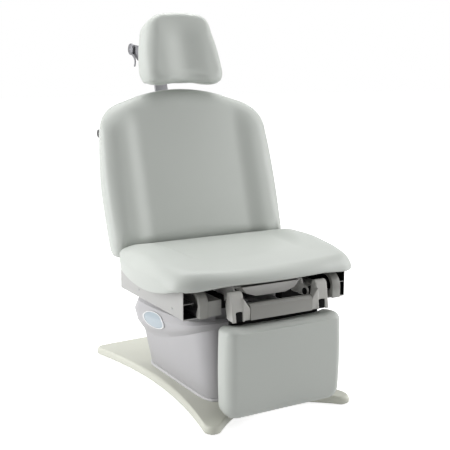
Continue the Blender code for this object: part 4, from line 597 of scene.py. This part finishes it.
looks = {
    "vinyl": finish("vinyl", (0.500, 0.525, 0.495), 0.44, drift=0.03, relief="hide", relief_scale=850.0,
                    relief_depth=0.00012),
    "lilac_grey": finish("lilac_grey", (0.430, 0.425, 0.437), 0.42, relief_scale=900.0),
    # The edge colours here are lighter than their base colours: a painted highlight along the outer edges.
    "ivory": finish("ivory", (0.610, 0.618, 0.540), 0.40, drift=0.05, edge=(0.69, 0.70, 0.62)),
    "panel_grey": finish("panel_grey", (0.320, 0.318, 0.312), 0.46, edge=(0.42, 0.42, 0.41)),
    "warm_grey": finish("warm_grey", (0.255, 0.253, 0.236), 0.46, edge=(0.36, 0.36, 0.34)),
    "frame_grey": finish("frame_grey", (0.290, 0.288, 0.272), 0.48, edge=(0.40, 0.40, 0.38)),
    # A much lighter copy of the frame grey for the pan and the leg brackets: painted light, lifting parts
    # that sit in the seat's shadow.
    "lit_underside_grey": finish("lit_underside_grey", (0.720, 0.715, 0.690), 0.46, drift=0.12, patch=14.0),
    "block_grey": finish("block_grey", (0.360, 0.357, 0.340), 0.48, edge=(0.44, 0.44, 0.42)),
    # A lighter copy of the yoke's warm grey for the yoke arms: painted light, for the brighter light their
    # faces catch compared with the bar.
    "lit_yoke_arm_grey": finish("lit_yoke_arm_grey", (0.470, 0.466, 0.440), 0.46, drift=0.05),
    "trim_grey": finish("trim_grey", (0.580, 0.575, 0.586), 0.40),
    "badge_blue": finish("badge_blue", (0.340, 0.410, 0.460), 0.30, drift=0.02, coat=0.3),
    "black_steel": finish("black_steel", (0.008, 0.008, 0.008), 0.65, smear=0.2, shine=0.06),
    "black_plastic": finish("black_plastic", (0.020, 0.020, 0.021), 0.50, relief_depth=0.0001),
    "rubber": finish("rubber", (0.030, 0.030, 0.030), 0.80),
    "steel": finish("steel", (0.36, 0.36, 0.37), 0.42, 1.0, smear=0.25),
    "chrome": finish("chrome", (0.36, 0.36, 0.37), 0.42, 1.0, smear=0.15),
    "satin_steel": finish("satin_steel", (0.17, 0.17, 0.18), 0.50, 1.0, smear=0.2),
    "bright_bar": finish("bright_bar", (0.26, 0.26, 0.27), 0.48, 1.0, smear=0.15),
    "badge_rim": finish("badge_rim", (0.80, 0.81, 0.82), 0.25, drift=0.02),
    "plywood": finish("plywood", (0.035, 0.032, 0.030), 0.75, drift=0.3, patch=18.0),
}


# ---------------------------------------------------------------- upholstery

def upholstered(name, body, outline, centre, *, front, rim, roll, out, pocket, skirt, tuck, place):
    """A foam pad under tight vinyl: a pocket for its board, a rolled edge and a shaped face.

    front and rim give the pad's depth at a point of its plan, roll how far its edge turns in and down.
    pocket is the depth of the pocket's floor, and out is the sign of the way that the face looks.
    """
    inner = drawn_in(outline, centre, skirt)
    flat = rim(*centre)
    rings = [
        [place(*p, pocket) for p in inner],
        [place(*p, flat) for p in inner],
        [place(*p, flat) for p in drawn_in(outline, centre, skirt / 2)],
    ]
    for angle in (0, 30, 60, 90):
        turn = math.radians(angle)
        inset = tuck + PAD_LIP * (1 - math.sin(turn))
        lift = PAD_LIP * (1 - math.cos(turn))
        rings.append([place(*p, rim(*p) + out * lift) for p in drawn_in(outline, centre, inset)])
    rolls = []
    for p in outline:
        inward, down = roll(*p)
        rolls.append((inward, min(down, out * (front(*p) - rim(*p)) - 1.5 * PAD_LIP)))
    for share in (0.3, 0.6, 0.85):
        ring = drawn_in(outline, centre, tuck * (1 - share) ** 2)
        sides = [(rim(*p) + out * PAD_LIP, front(*p) - out * down) for p, (_, down) in zip(ring, rolls)]
        rings.append([place(*p, a + (b - a) * share) for p, (a, b) in zip(ring, sides)])
    for k in range(EDGE_TURNS + 1):
        turn = math.pi / 2 * k / EDGE_TURNS
        inset, drop = 1 - math.cos(turn), 1 - math.sin(turn)
        ring = [moved_in(p, centre, inward * inset) for p, (inward, _) in zip(outline, rolls)]
        rings.append([place(*p, front(*p) - out * (down * drop)) for p, (_, down) in zip(ring, rolls)])
    face = [moved_in(p, centre, inward) for p, (inward, _) in zip(outline, rolls)]
    for k in range(1, FACE_RINGS):
        ring = [p.lerp(centre, k / FACE_RINGS) for p in face]
        rings.append([place(*p, front(*p)) for p in ring])
    pad = made(name, skin(rings, tip=place(*centre, front(*centre))), "vinyl")
    fitted(pad, body, "vinyl", name.replace("_pad", "_cushion"))
    return pad


def on_back(u, v, w):
    """A pad's outline point and depth, in the leaning space of the back."""
    return LEANING @ Vector((u, w, v))


def seat_pad():
    """The seat: raised sides, a front that falls away, and sides that droop over the frame."""
    outline = rounded([
        (-SEAT_HALF, SEAT_REAR_Y, SEAT_REAR_CORNER, SEAT_SIDE_BOW),
        (-SEAT_HALF, SEAT_FRONT_Y, SEAT_FRONT_CORNER, 0.0),
        (0.0, SEAT_PEAK_Y, SEAT_PEAK_BEND, 0.0),
        (SEAT_HALF, SEAT_FRONT_Y, SEAT_FRONT_CORNER, SEAT_SIDE_BOW),
        (SEAT_HALF, SEAT_REAR_Y, SEAT_REAR_CORNER, SEAT_REAR_BOW),
    ], PAD_POINTS)
    centre = Vector((0, (SEAT_FRONT_Y + SEAT_REAR_Y) / 2))
    depth = SEAT_REAR_Y - SEAT_FRONT_Y

    def top(x, y):
        ahead = step(SEAT_REAR_Y, SEAT_PEAK_Y, y)
        inner = SEAT_BOLSTER_IN - SEAT_BOLSTER_NARROWS * ahead
        swell = SEAT_BOLSTER * step(*SEAT_BOLSTER_REAR_SPAN, y) * step(*SEAT_BOLSTER_FRONT_SPAN, y)
        rise = swell * step(inner, inner + SEAT_BOLSTER_SLOPE, abs(x))
        side = max(0.0, (abs(x) - SEAT_CREST) / (SEAT_HALF - SEAT_CREST)) ** 2
        fall = SEAT_FALL * step(centre.y - depth * SEAT_FALL_START, SEAT_PEAK_Y, y)
        behind = step(*SEAT_FLAT_REAR_SPAN, y)
        slope = SEAT_SIDE_FALL * (1 - SEAT_SIDE_FLATTER * ahead) * (1 - SEAT_SIDE_FLATTER * behind)
        return SEAT_TOP + rise - fall - slope * side

    def rim(x, y):
        clear = max(abs(x) - PANEL_X, PANEL_FRONT_Y - y)
        reach = depth * (SEAT_DROOP_REAR if y > centre.y else SEAT_DROOP_FRONT)
        beside = SEAT_DROOP * max(0.0, 1 - ((y - centre.y) / reach) ** 2)
        ahead = SEAT_FRONT_DROP + SEAT_CORNER_DROP * step(*SEAT_CORNER_SPAN, abs(x))
        return SEAT_UNDERSIDE - max(beside, ahead) * step(*PANEL_CLEAR_SPAN, clear)

    def roll(_, y):
        side = step(SEAT_FRONT_Y + SEAT_SIDE_SPAN[0], SEAT_FRONT_Y + SEAT_SIDE_SPAN[1], y)
        rear = step(SEAT_REAR_Y - SEAT_REAR_SPAN[0], SEAT_REAR_Y - SEAT_REAR_SPAN[1], y)
        return mixed(mixed(SEAT_ROLL, SEAT_SIDE_ROLL, side), SEAT_REAR_ROLL, rear)

    return upholstered(
        "seat_pad", "seat", outline, centre, front=top, rim=rim, roll=roll, out=1, pocket=SEAT_CEILING,
        skirt=SEAT_SKIRT, tuck=PAD_TUCK, place=lambda u, v, w: (u, v, w),
    )


def back_pad():
    """The back: a crowned middle between soft bolsters, and corners that hang behind the seat."""
    outline = rounded([
        (BACK_HALF, BACK_FOOT, BACK_FOOT_CORNER, BACK_SIDE_BOW),
        (BACK_TOP_HALF, BACK_SHOULDER, BACK_SHOULDER_CORNER, 0.0),
        (0.0, BACK_PEAK, BACK_PEAK_BEND, 0.0),
        (-BACK_TOP_HALF, BACK_SHOULDER, BACK_SHOULDER_CORNER, BACK_SIDE_BOW),
        (-BACK_HALF, BACK_FOOT, BACK_FOOT_CORNER, 0.0),
    ], PAD_POINTS)
    centre = Vector((0, (BACK_FOOT + BACK_SHOULDER) / 2))

    def front(x, s):
        bolster = step(*BOLSTER_SPAN, abs(x)) * step(BACK_SHOULDER + BOLSTER_RUN_OUT, BOLSTER_TOP, s)
        crown = BACK_CROWN * (1 - min(abs(x) / BOLSTER_SPAN[0], 1.0) ** 2)
        return BACK_HOLLOW * (1 - bolster) - crown

    def hung(u, v, w):
        low = step(BACK_FOOT + BACK_LIP_RISE, BACK_FOOT, v) * (1 - step(BACK_LIP_DEPTH, BACK_THICK, w))
        high, foot = BACK_EAR_RISE
        ear = step(*BACK_EAR_SPAN, abs(u)) * step(BACK_FOOT + high, BACK_FOOT + foot, v)
        taper = 1 - BACK_TAPER * step(*BACK_TAPER_SPAN, v) * step(BACK_TAPER_DEPTH, BACK_THICK, w)
        return on_back(u * taper, v - max(BACK_LIP * low, BACK_EAR * ear), w)

    return upholstered(
        "back_pad", "back", outline, centre, front=front, rim=lambda x, s: BACK_THICK,
        roll=lambda x, s: BACK_ROLL, out=-1, pocket=BACK_POCKET, skirt=BACK_SKIRT, tuck=PAD_TUCK,
        place=hung,
    )


def leg_pad():
    """The leg section's pad: a crowned slab whose top edge sinks between two puffed corners."""
    outline = rounded([
        (LEG_HALF, LEG_FOOT, LEG_FOOT_CORNER, LEG_BOW), (LEG_HALF, LEG_TOP, LEG_TOP_CORNER, 0.0),
        (-LEG_HALF, LEG_TOP, LEG_TOP_CORNER, LEG_BOW), (-LEG_HALF, LEG_FOOT, LEG_FOOT_CORNER, 0.0),
    ], PAD_POINTS)
    centre = Vector((0, (LEG_FOOT + LEG_TOP) / 2))
    rear = LEG_FRONT_Y + LEG_THICK

    def front(x, z):
        across, along = x / LEG_HALF, (z - centre.y) / (centre.y - LEG_FOOT)
        return LEG_FRONT_Y + LEG_CROWN * across ** 2 + LEG_CROWN * along ** 2

    def sunk(u, v, w):
        share = (v - centre.y) / (LEG_TOP - centre.y)
        puffed = 1 - LEG_PUFF * step(*LEG_PUFF_SPAN, abs(u))
        return (u, w, v - LEG_SINK * puffed * step(*LEG_SINK_SPAN, share))

    return upholstered(
        "leg_pad", "leg_section", outline, centre, front=front, rim=lambda x, z: rear,
        roll=lambda x, z: LEG_ROLL, out=-1, pocket=rear - LEG_POCKET, skirt=LEG_SKIRT, tuck=LEG_TUCK,
        place=sunk,
    )


def head_pad():
    """The headrest: two soft sides and a valley for the head, its rear edge standing a little higher."""
    outline = rounded([
        (HEAD_HALF_FOOT, HEAD_FOOT, HEAD_FOOT_CORNER, HEAD_BOW),
        (HEAD_HALF_TOP, HEAD_TOP, HEAD_TOP_CORNER, HEAD_BOW),
        (-HEAD_HALF_TOP, HEAD_TOP, HEAD_TOP_CORNER, HEAD_BOW),
        (-HEAD_HALF_FOOT, HEAD_FOOT, HEAD_FOOT_CORNER, HEAD_FOOT_BOW),
    ], PAD_POINTS)
    centre = Vector((0, (HEAD_FOOT + HEAD_TOP) / 2))

    def front(x, s):
        above = step(HEAD_TOP, HEAD_TOP - HEAD_VALLEY_TOP, s)
        ends = above * step(HEAD_FOOT, HEAD_FOOT + HEAD_VALLEY_FOOT, s)
        return HEAD_FRONT + HEAD_HOLLOW * (1 - step(0.0, HEAD_VALLEY, abs(x))) * ends

    def reared(u, v, w):
        share = (v - HEAD_FOOT) / (HEAD_TOP - HEAD_FOOT)
        half = HEAD_HALF_FOOT + (HEAD_HALF_TOP - HEAD_HALF_FOOT) * share
        edge = step(*HEAD_EDGE_SPAN, max(abs(u) / half, abs(2 * share - 1)))
        lean = HEAD_LEAN * (1 - share)
        return on_back(u, v + lean * (w - HEAD_FRONT) * edge, w)

    def roll(_, s):
        return mixed(HEAD_ROLL, HEAD_TOP_ROLL, step(HEAD_TOP - HEAD_CREST, HEAD_TOP, s))

    return upholstered(
        "head_pad", "headrest", outline, centre, front=front, rim=lambda x, s: HEAD_REAR, roll=roll, out=-1,
        pocket=HEAD_POCKET, skirt=HEAD_SKIRT, tuck=PAD_TUCK, place=reared,
    )


# ---------------------------------------------------------------- floor plate and column cover

def plate_outline():
    """Two front lobes, hollow sides and a nearly straight rear edge."""
    x = PLATE_HALF - LOBE
    front = Vector((x, PLATE_FRONT_Y + LOBE))
    turn = math.pi / 2 - REAR_BOW
    end_x = x + LOBE * math.cos(turn)
    rise = end_x * math.tan(REAR_BOW)
    rear = Vector((x, PLATE_REAR_Y - rise / 2 - LOBE * math.sin(turn)))

    def lobe(centre, start, end):
        angles = [math.radians(start + (end - start) * i / 24) for i in range(25)]
        return [centre + Vector((math.cos(a), math.sin(a))) * LOBE for a in angles]

    front_right = lobe(front, -135, 12)
    rear_right = lobe(rear, -12, math.degrees(turn))
    pull = 2 * PLATE_WAIST - (front_right[-1].x + rear_right[0].x) / 2
    right = bend(front_right[-1], Vector((pull, 0)), rear_right[0], 48)[1:]
    half = front_right + right + rear_right
    other = [Vector((-p.x, p.y)) for p in half[::-1]]
    back = bend(half[-1], Vector((0, half[-1].y + rise)), other[0], 32)[1:]
    ahead = bend(other[-1], Vector((0, other[-1].y - other[-1].x)), half[0], 48)[1:]
    return [p + Vector((0, MIDDLE_Y)) for p in half + back + other + ahead]


def floor_plate():
    """The painted floor plate, rolled over along its top edge."""
    outline = plate_outline()
    centre = Vector((0, MIDDLE_Y))
    low, high = PLATE_FOOT, PLATE_FOOT + PLATE_THICK
    inward, up = PLATE_FOOT_CHAMFER
    rings = [[(p.x, p.y, low) for p in drawn_in(outline, centre, inward)]]
    rings += [[(p.x, p.y, low + up) for p in outline]]
    for angle in range(0, 91, 9):
        turn = math.radians(angle)
        ring = drawn_in(outline, centre, PLATE_EDGE * (1 - math.cos(turn)))
        rings.append([(p.x, p.y, high - PLATE_DROP * (1 - math.sin(turn))) for p in ring])
    rings.append([(p.x, p.y, high) for p in drawn_in(outline, centre, PLATE_EDGE * PLATE_FLAT)])
    plate = made("floor_plate", skin(rings), "ivory")
    return fitted(plate, "base", "ivory", "base_plate")


def swept(y):
    """How far the cover's levels have risen on the way from rear to front."""
    share = (SWEEP_REAR_Y - y) / (SWEEP_REAR_Y - COVER_LEVELS[0][3])
    return min(max(share, 0.0), 1.0) ** SWEEP_EASE


def cover_ring(level, inset):
    """One level of the column cover, its height swept from front to rear."""
    front_z, rear_z, half, front, rear, radius = level
    half, front, rear, radius = half - inset, front + inset, rear - inset, radius - inset
    corners = [(half, front), (half, rear), (-half, rear), (-half, front)]
    outline = rounded([(u, v, radius, 0.0) for u, v in corners], COVER_POINTS)
    return [(p.x, p.y + MIDDLE_Y, rear_z + (front_z - rear_z) * swept(p.y)) for p in outline]


def cover_levels():
    """The cover's levels, with its body kept straight, its crease tight and its shoulder rounded."""
    a, b, c, d, e, f, g = COVER_LEVELS
    levels = [a, mixed(a, b, 0.5), b, mixed(b, c, 0.5), mixed(b, c, 0.9), c]
    levels += [mixed(c, d, 0.5), d, mixed(d, e, 0.55), e]
    return levels + [mixed(e, f, 0.5), f, mixed(f, g, 0.55), g]


def cover_shell():
    """The column cover before its openings are cut."""
    levels = cover_levels()
    outer = [cover_ring(level, 0) for level in levels]
    inner = [cover_ring(level, COVER_WALL) for level in levels[::-1]]
    return skin(outer + inner, loop=True)


def column_cover():
    """The moulded cover with its front door and its opening for the power inlet."""
    front = COVER_LEVELS[0][3] + MIDDLE_Y
    ahead, behind = front - COVER_WALL * 3, front + COVER_WALL * 8
    shell = made("column_shell", cover_shell(), "lilac_grey")
    cut(shell, block((-DOOR_HALF, ahead, DOOR_FOOT), (DOOR_HALF, behind, DOOR_HEAD)), "DIFFERENCE")
    low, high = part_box("power_inlet")
    gap = Vector((INLET_GAP, INLET_GAP, INLET_GAP))
    cut(shell, block(low - gap, high + gap), "DIFFERENCE")
    eased(shell, COVER_EDGE)
    fitted(shell, "base", "lilac_grey", "column_cover")
    door = made("column_door", cover_shell(), "lilac_grey")
    inside = DOOR_HALF - DOOR_SEAM
    opening = block((-inside, ahead, DOOR_FOOT + DOOR_SEAM), (inside, behind, DOOR_HEAD - DOOR_SEAM))
    cut(door, opening, "INTERSECT")
    eased(door, COVER_EDGE)
    fitted(door, "base", "lilac_grey", "front_panel")


def cover_half(y, z):
    """The cover's half-width at a place on its side."""
    for low, high in zip(COVER_LEVELS, COVER_LEVELS[1:]):
        foot, head = (level[1] + (level[0] - level[1]) * swept(y) for level in (low, high))
        if foot <= z <= head:
            return low[2] + (high[2] - low[2]) * (z - foot) / (head - foot)
    return COVER_LEVELS[-1][2]


def badge():
    """An oval badge on the cover's left shoulder: a pale field, left bare, in a bright rim."""
    angles = [2 * math.pi * i / 72 for i in range(72)]

    def oval(share, stand):
        ring = []
        for a in angles:
            across, above = math.cos(a), math.sin(a)
            along = BADGE_LENGTH / 2 * share * math.copysign(abs(across) ** BADGE_SQUARENESS, across)
            up = BADGE_HEIGHT / 2 * share * math.copysign(abs(above) ** BADGE_SQUARENESS, above)
            y, z = BADGE_Y + along, BADGE_Z + up - along * BADGE_TILT
            ring.append((-cover_half(y, z) - stand, y + MIDDLE_Y, z))
        return ring

    shares = BADGE_FIELD + (BADGE_FIELD_EDGE,)
    field = [oval(s, BADGE_FOOT) for s in shares] + [oval(s, BADGE_FACE) for s in shares[::-1]]
    fitted(made("badge_field", skin(field), "badge_blue"), "base", "badge_blue", "badge_plate")
    rim = skin([oval(share, stand) for share, stand in BADGE_RIM], loop=True)
    fitted(made("badge_rim", rim, "badge_rim"), "base", "badge_blue")


# ---------------------------------------------------------------- headrest link and lever

def link_arm():
    """The wide side arm between the headrest's two pivots."""
    along = (HEAD_PIVOT - LINK_PIVOT).normalized()
    start = math.atan2(along.y, along.x) + math.pi / 2
    turns = [start + math.pi * i / 24 for i in range(25)]
    near_radius, far_radius = LINK_ARM_RADII
    ends = [(LINK_PIVOT, near_radius, a) for a in turns]
    ends += [(HEAD_PIVOT, far_radius, a + math.pi) for a in turns]

    def ring(x, inset):
        spots = [c + Vector((math.cos(a), math.sin(a))) * (reach - inset) for c, reach, a in ends]
        return [on_back(x, p.y, p.x) for p in spots]

    near, far, chamfer = *LINK_ARM_X, LINK_CHAMFER
    rings = [ring(near, chamfer), ring(near + chamfer, 0), ring(far - chamfer, 0), ring(far, chamfer)]
    fitted(made("link_arm", skin(rings), "satin_steel"), "headrest_link", "chrome")


def lock_lever():
    """The round hub on the link's pin and its hooked lever."""
    angles = [2 * math.pi * i / 40 for i in range(40)]
    hub = []
    for depth, radius in HUB_PROFILE:
        spots = [LINK_PIVOT + Vector((math.cos(a), math.sin(a))) * radius for a in angles]
        hub.append([on_back(HUB_X - depth, p.y, p.x) for p in spots])
    fitted(made("lever_hub", skin(hub), "satin_steel"), "headrest_lock", "chrome", "lock_lever")
    last = LEVER_STEPS
    spine = bend(*LEVER_CURVE, last) + [LEVER_CURVE[2]]
    blade = []
    for i, spot in enumerate(spine):
        ahead = (spine[min(i + 1, last)] - spine[max(i - 1, 0)]).normalized()
        across = Vector((ahead.y, -ahead.x))
        wide = (LEVER_HALF - LEVER_NARROWS * i / last) * (LEVER_TIP if i == last else 1)
        ring = []
        for a in angles[::2]:
            p = LINK_PIVOT + spot + across * wide * math.cos(a)
            ring.append(on_back(HUB_X - LEVER_DEPTH + LEVER_THICK * math.sin(a), p.y, p.x))
        blade.append(ring)
    fitted(made("lever_blade", skin(blade), "satin_steel"), "headrest_lock", "chrome")


# ---------------------------------------------------------------- small fasteners

def screw(name, place, facing, body, r, slot):
    """A domed screw head of radius r with a round driver recess, facing outwards."""
    profile = [(-0.0010, r), (0.0008, r), (0.0017, r * 0.86), (0.0022, r * 0.60), (0.0022, r * 0.42),
               (0.0008, r * 0.36), (0.0006, r * 0.05)]
    head = made(name, turned(profile), slot)
    turn = Vector(facing).to_track_quat("Z", "Y").to_matrix().to_4x4()
    head.data.transform(Matrix.Translation(place) @ turn)
    fitted(head, body, slot)


def fasteners():
    """The screws of the side panels and the rear cover."""
    for hand, side in (("left", -1), ("right", 1)):
        for i, (y, z) in enumerate(PANEL_SCREWS):
            place, facing = (side * PANEL_X, y, z), (side, 0, 0)
            screw(f"panel_screw_{hand}_{i}", place, facing, "seat", PANEL_SCREW_RADIUS, "steel")
    rear = hit_from_behind("back_cover")
    for i, (x, s) in enumerate(REAR_SCREWS):
        place, facing = rear(x, s)
        screw(f"rear_screw_{i}", place, facing, "back", REAR_SCREW_RADIUS, "black_plastic")


def tray_lips():
    """The folded front edges of the two frame trays."""
    for hand, side in (("left", -1), ("right", 1)):
        low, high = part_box(f"side_panel_{hand}")
        inner, outer = sorted((abs(low.x), abs(high.x)))
        y, z, r = low.y + 0.0012, low.z - 0.0004, TRAY_LIP_RADIUS
        angles = [2 * math.pi * i / 16 for i in range(16)]
        spots = [side * (inner + (outer - inner) * share) for share in (0.0, 0.004, 0.5, 0.992, 0.996)]
        radii = (r * 0.7, r, r, r, r * 0.7)
        rings = []
        for x, reach in zip(spots, radii):
            rings.append([(x, y + reach * 0.5 * math.cos(a), z + reach * math.sin(a)) for a in angles])
        fitted(made(f"tray_lip_{hand}", skin(rings), "panel_grey"), "seat", "panel_grey")


def hit_from_behind(node):
    """A finder of places on the rear of a model piece that leans with the back."""
    thing = frame["nodes"][node]
    points = [thing.matrix_world @ v.co for v in thing.data.vertices]
    tree = BVHTree.FromPolygons(points, [tuple(face.vertices) for face in thing.data.polygons])
    ahead = LEANING.to_3x3() @ Vector((0, -1, 0))

    def find(x, s):
        place, normal, _, _ = tree.ray_cast(LEANING @ Vector((x, 1.0, s)), ahead)
        return place, -normal if normal.dot(ahead) > 0 else normal

    return find


# ---------------------------------------------------------------- pieces kept from the model

SOFTER_EDGES = {
    "yoke_bar": 0.006,
    "stirrup_left": 0.0025, "stirrup_right": 0.0025, "glide_bar": 0.0015,
    "rail_left": 0.002, "rail_right": 0.002, "side_panel_left": 0.0006, "side_panel_right": 0.0006,
    "pan": 0.0005, "back_cover": 0.003, "glide_socket": 0.003, "control_box": 0.004,
    "paper_bracket_left": 0.0015, "paper_bracket_right": 0.0015,
}
PLAIN_EDGE = 0.0008
CAST_PIECES = ("yoke_arm_left", "yoke_arm_right")
CAST_GRAIN = 0.0018
CAST_ROUNDS = 14
# The pan and the leg brackets take a lighter grey as painted light, because they sit in the seat's shadow.
OWN_LOOKS = {
    "glide_bar": "bright_bar", "pan": "lit_underside_grey", "leg_bracket_left": "lit_underside_grey",
    "leg_bracket_right": "lit_underside_grey", "rail_left": "block_grey", "rail_right": "block_grey",
    # The yoke arms take a lighter grey than the yoke bar as painted light on their lit faces.
    "yoke_arm_left": "lit_yoke_arm_grey", "yoke_arm_right": "lit_yoke_arm_grey",
}


def dressed(node, body, slot):
    """A copy of a model piece with its edges eased, which stands for it."""
    bm = bmesh.new()
    bm.from_mesh(frame["nodes"][node].data)
    bmesh.ops.remove_doubles(bm, verts=bm.verts, dist=1e-6)
    bmesh.ops.dissolve_limit(bm, angle_limit=math.radians(1), verts=bm.verts, edges=bm.edges)
    piece = made(f"{node}_dressed", bm, OWN_LOOKS.get(node, slot))
    # Side panels get black inner faces: painted shade inside the compartments under the seat.
    if node.startswith("side_panel"):
        painted_shade_inside(piece)
    if node in CAST_PIECES:
        cast(piece)
    else:
        eased(piece, SOFTER_EDGES.get(node, PLAIN_EDGE), 3 if node in SOFTER_EDGES else 2)
    return fitted(piece, body, slot, node)


def cast(piece):
    """Rounds every edge of a piece over, as on a casting."""
    grain = piece.modifiers.new("grain", "REMESH")
    grain.mode = "VOXEL"
    grain.voxel_size = CAST_GRAIN
    soft = piece.modifiers.new("soft", "SMOOTH")
    soft.factor = 0.5
    soft.iterations = CAST_ROUNDS
    settled(piece)
    piece.data.polygons.foreach_set("use_smooth", [True] * len(piece.data.polygons))


def painted_shade_inside(panel):
    """Paints the inner faces of a side panel black, as painted shade for the dark compartments, and leaves
    its outer faces and its edges.
    """
    panel.data.materials.append(looks["black_steel"])
    low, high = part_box(panel.name.replace("_dressed", ""))
    outer = max(abs(low.x), abs(high.x)) - PANEL_SKIN
    for face in panel.data.polygons:
        edge = abs(face.normal.y) > 0.5
        shell = abs(face.center.x) > outer or face.center.z < low.z + PANEL_SKIN
        face.material_index = 0 if edge or shell else 1


REMADE = (
    "seat_cushion", "back_cushion", "leg_cushion", "head_cushion",
    "base_plate", "column_cover", "front_panel", "badge_plate", "lock_lever",
)


def kept_pieces():
    """Every other piece of the model, in its finish."""
    slots = {entry["node"]: entry["material_slot"] for entry in frame["record"]["subparts"]}
    for body, nodes in frame["record"]["behaviour"]["bodies"].items():
        for node in nodes:
            if node not in REMADE:
                dressed(node, body, slots[node])


# ---------------------------------------------------------------- stage

def seen_straight(tree):
    """1 for what the camera sees, also as a reflection or through glass, and 0 for light on its way."""
    path = tree.nodes.new("ShaderNodeLightPath")
    seen = maths(tree, "ADD", path.outputs["Is Camera Ray"], path.outputs["Is Glossy Ray"])
    return maths(tree, "ADD", seen, path.outputs["Is Transmission Ray"])


def pale_floor():
    """A floor that keeps the table's shadow and pales to white away from it."""
    bm = bmesh.new()
    bmesh.ops.create_grid(bm, x_segments=8, y_segments=8, size=FLOOR_HALF)
    floor_look = bpy.data.materials.new("pale_floor")
    floor_look.use_nodes = True
    tree = floor_look.node_tree
    shader = tree.nodes["Principled BSDF"]
    shader.inputs["Base Color"].default_value = (FLOOR_COLOUR, FLOOR_COLOUR, FLOOR_COLOUR, 1)
    shader.inputs["Roughness"].default_value = FLOOR_ROUGH
    shader.inputs["Specular IOR Level"].default_value = 0.0
    shader.inputs["Emission Color"].default_value = (1, 1, 1, 1)
    place = tree.nodes.new("ShaderNodeTexCoord")
    reach = tree.nodes.new("ShaderNodeVectorMath")
    reach.operation = "LENGTH"
    tree.links.new(place.outputs["Object"], reach.inputs[0])
    paler = tree.nodes.new("ShaderNodeMapRange")
    paler.interpolation_type = "SMOOTHSTEP"
    for label, value in zip(("From Min", "From Max", "To Min", "To Max"), FLOOR_FADE + FLOOR_GLOW):
        paler.inputs[label].default_value = value
    tree.links.new(reach.outputs["Value"], paler.inputs["Value"])
    glow = maths(tree, "MULTIPLY", seen_straight(tree), paler.outputs[0])
    tree.links.new(glow, shader.inputs["Emission Strength"])
    looks["floor"] = floor_look
    made("floor", bm, "floor")


def room():
    """An even room light, in front of which the camera sees white."""
    world = bpy.data.worlds.new("room")
    bpy.context.scene.world = world
    world.use_nodes = True
    tree = world.node_tree
    sky = tree.nodes["Background"]
    sky.inputs["Color"].default_value = (1, 1, 1, 1)
    strength = tree.nodes.new("ShaderNodeMapRange")
    strength.inputs["To Min"].default_value = ROOM_LIGHT
    strength.inputs["To Max"].default_value = 1.0
    tree.links.new(seen_straight(tree), strength.inputs["Value"])
    tree.links.new(strength.outputs[0], sky.inputs["Strength"])


def lamps():
    """The soft boxes and strips round the table."""
    for name, (place, across, along, power, aim) in LAMPS.items():
        lamp = bpy.data.lights.new(name, "AREA")
        lamp.shape = "RECTANGLE"
        lamp.size, lamp.size_y = across, along
        lamp.energy = power
        holder = bpy.data.objects.new(name, lamp)
        holder.location = place
        holder.rotation_euler = (Vector(aim) - Vector(place)).to_track_quat("-Z", "Y").to_euler()
        bpy.context.scene.collection.objects.link(holder)


def photo_camera():
    """The camera where the photograph was taken from."""
    scene = bpy.context.scene
    lens = bpy.data.cameras.new("photo_camera")
    lens.sensor_width = SENSOR
    lens.lens = FOCAL_PIXELS / PICTURE * SENSOR
    lens.shift_x = (PICTURE / 2 - OPTICAL_CENTRE[0]) / PICTURE
    lens.shift_y = (OPTICAL_CENTRE[1] - PICTURE / 2) / PICTURE
    camera = bpy.data.objects.new("photo_camera", lens)
    level = math.cos(CAMERA_ELEVATION)
    away = Vector((
        math.sin(CAMERA_AZIMUTH) * level, -math.cos(CAMERA_AZIMUTH) * level, math.sin(CAMERA_ELEVATION),
    ))
    camera.location = AIM + away * CAMERA_DISTANCE
    camera.rotation_euler = (-away).to_track_quat("-Z", "Y").to_euler()
    scene.collection.objects.link(camera)
    scene.camera = camera


bpy.context.scene.view_settings.view_transform = "Standard"
pale_floor()
room()
lamps()
photo_camera()

seat_pad()
back_pad()
leg_pad()
head_pad()
floor_plate()
column_cover()
badge()
link_arm()
lock_lever()
kept_pieces()
fasteners()
tray_lips()
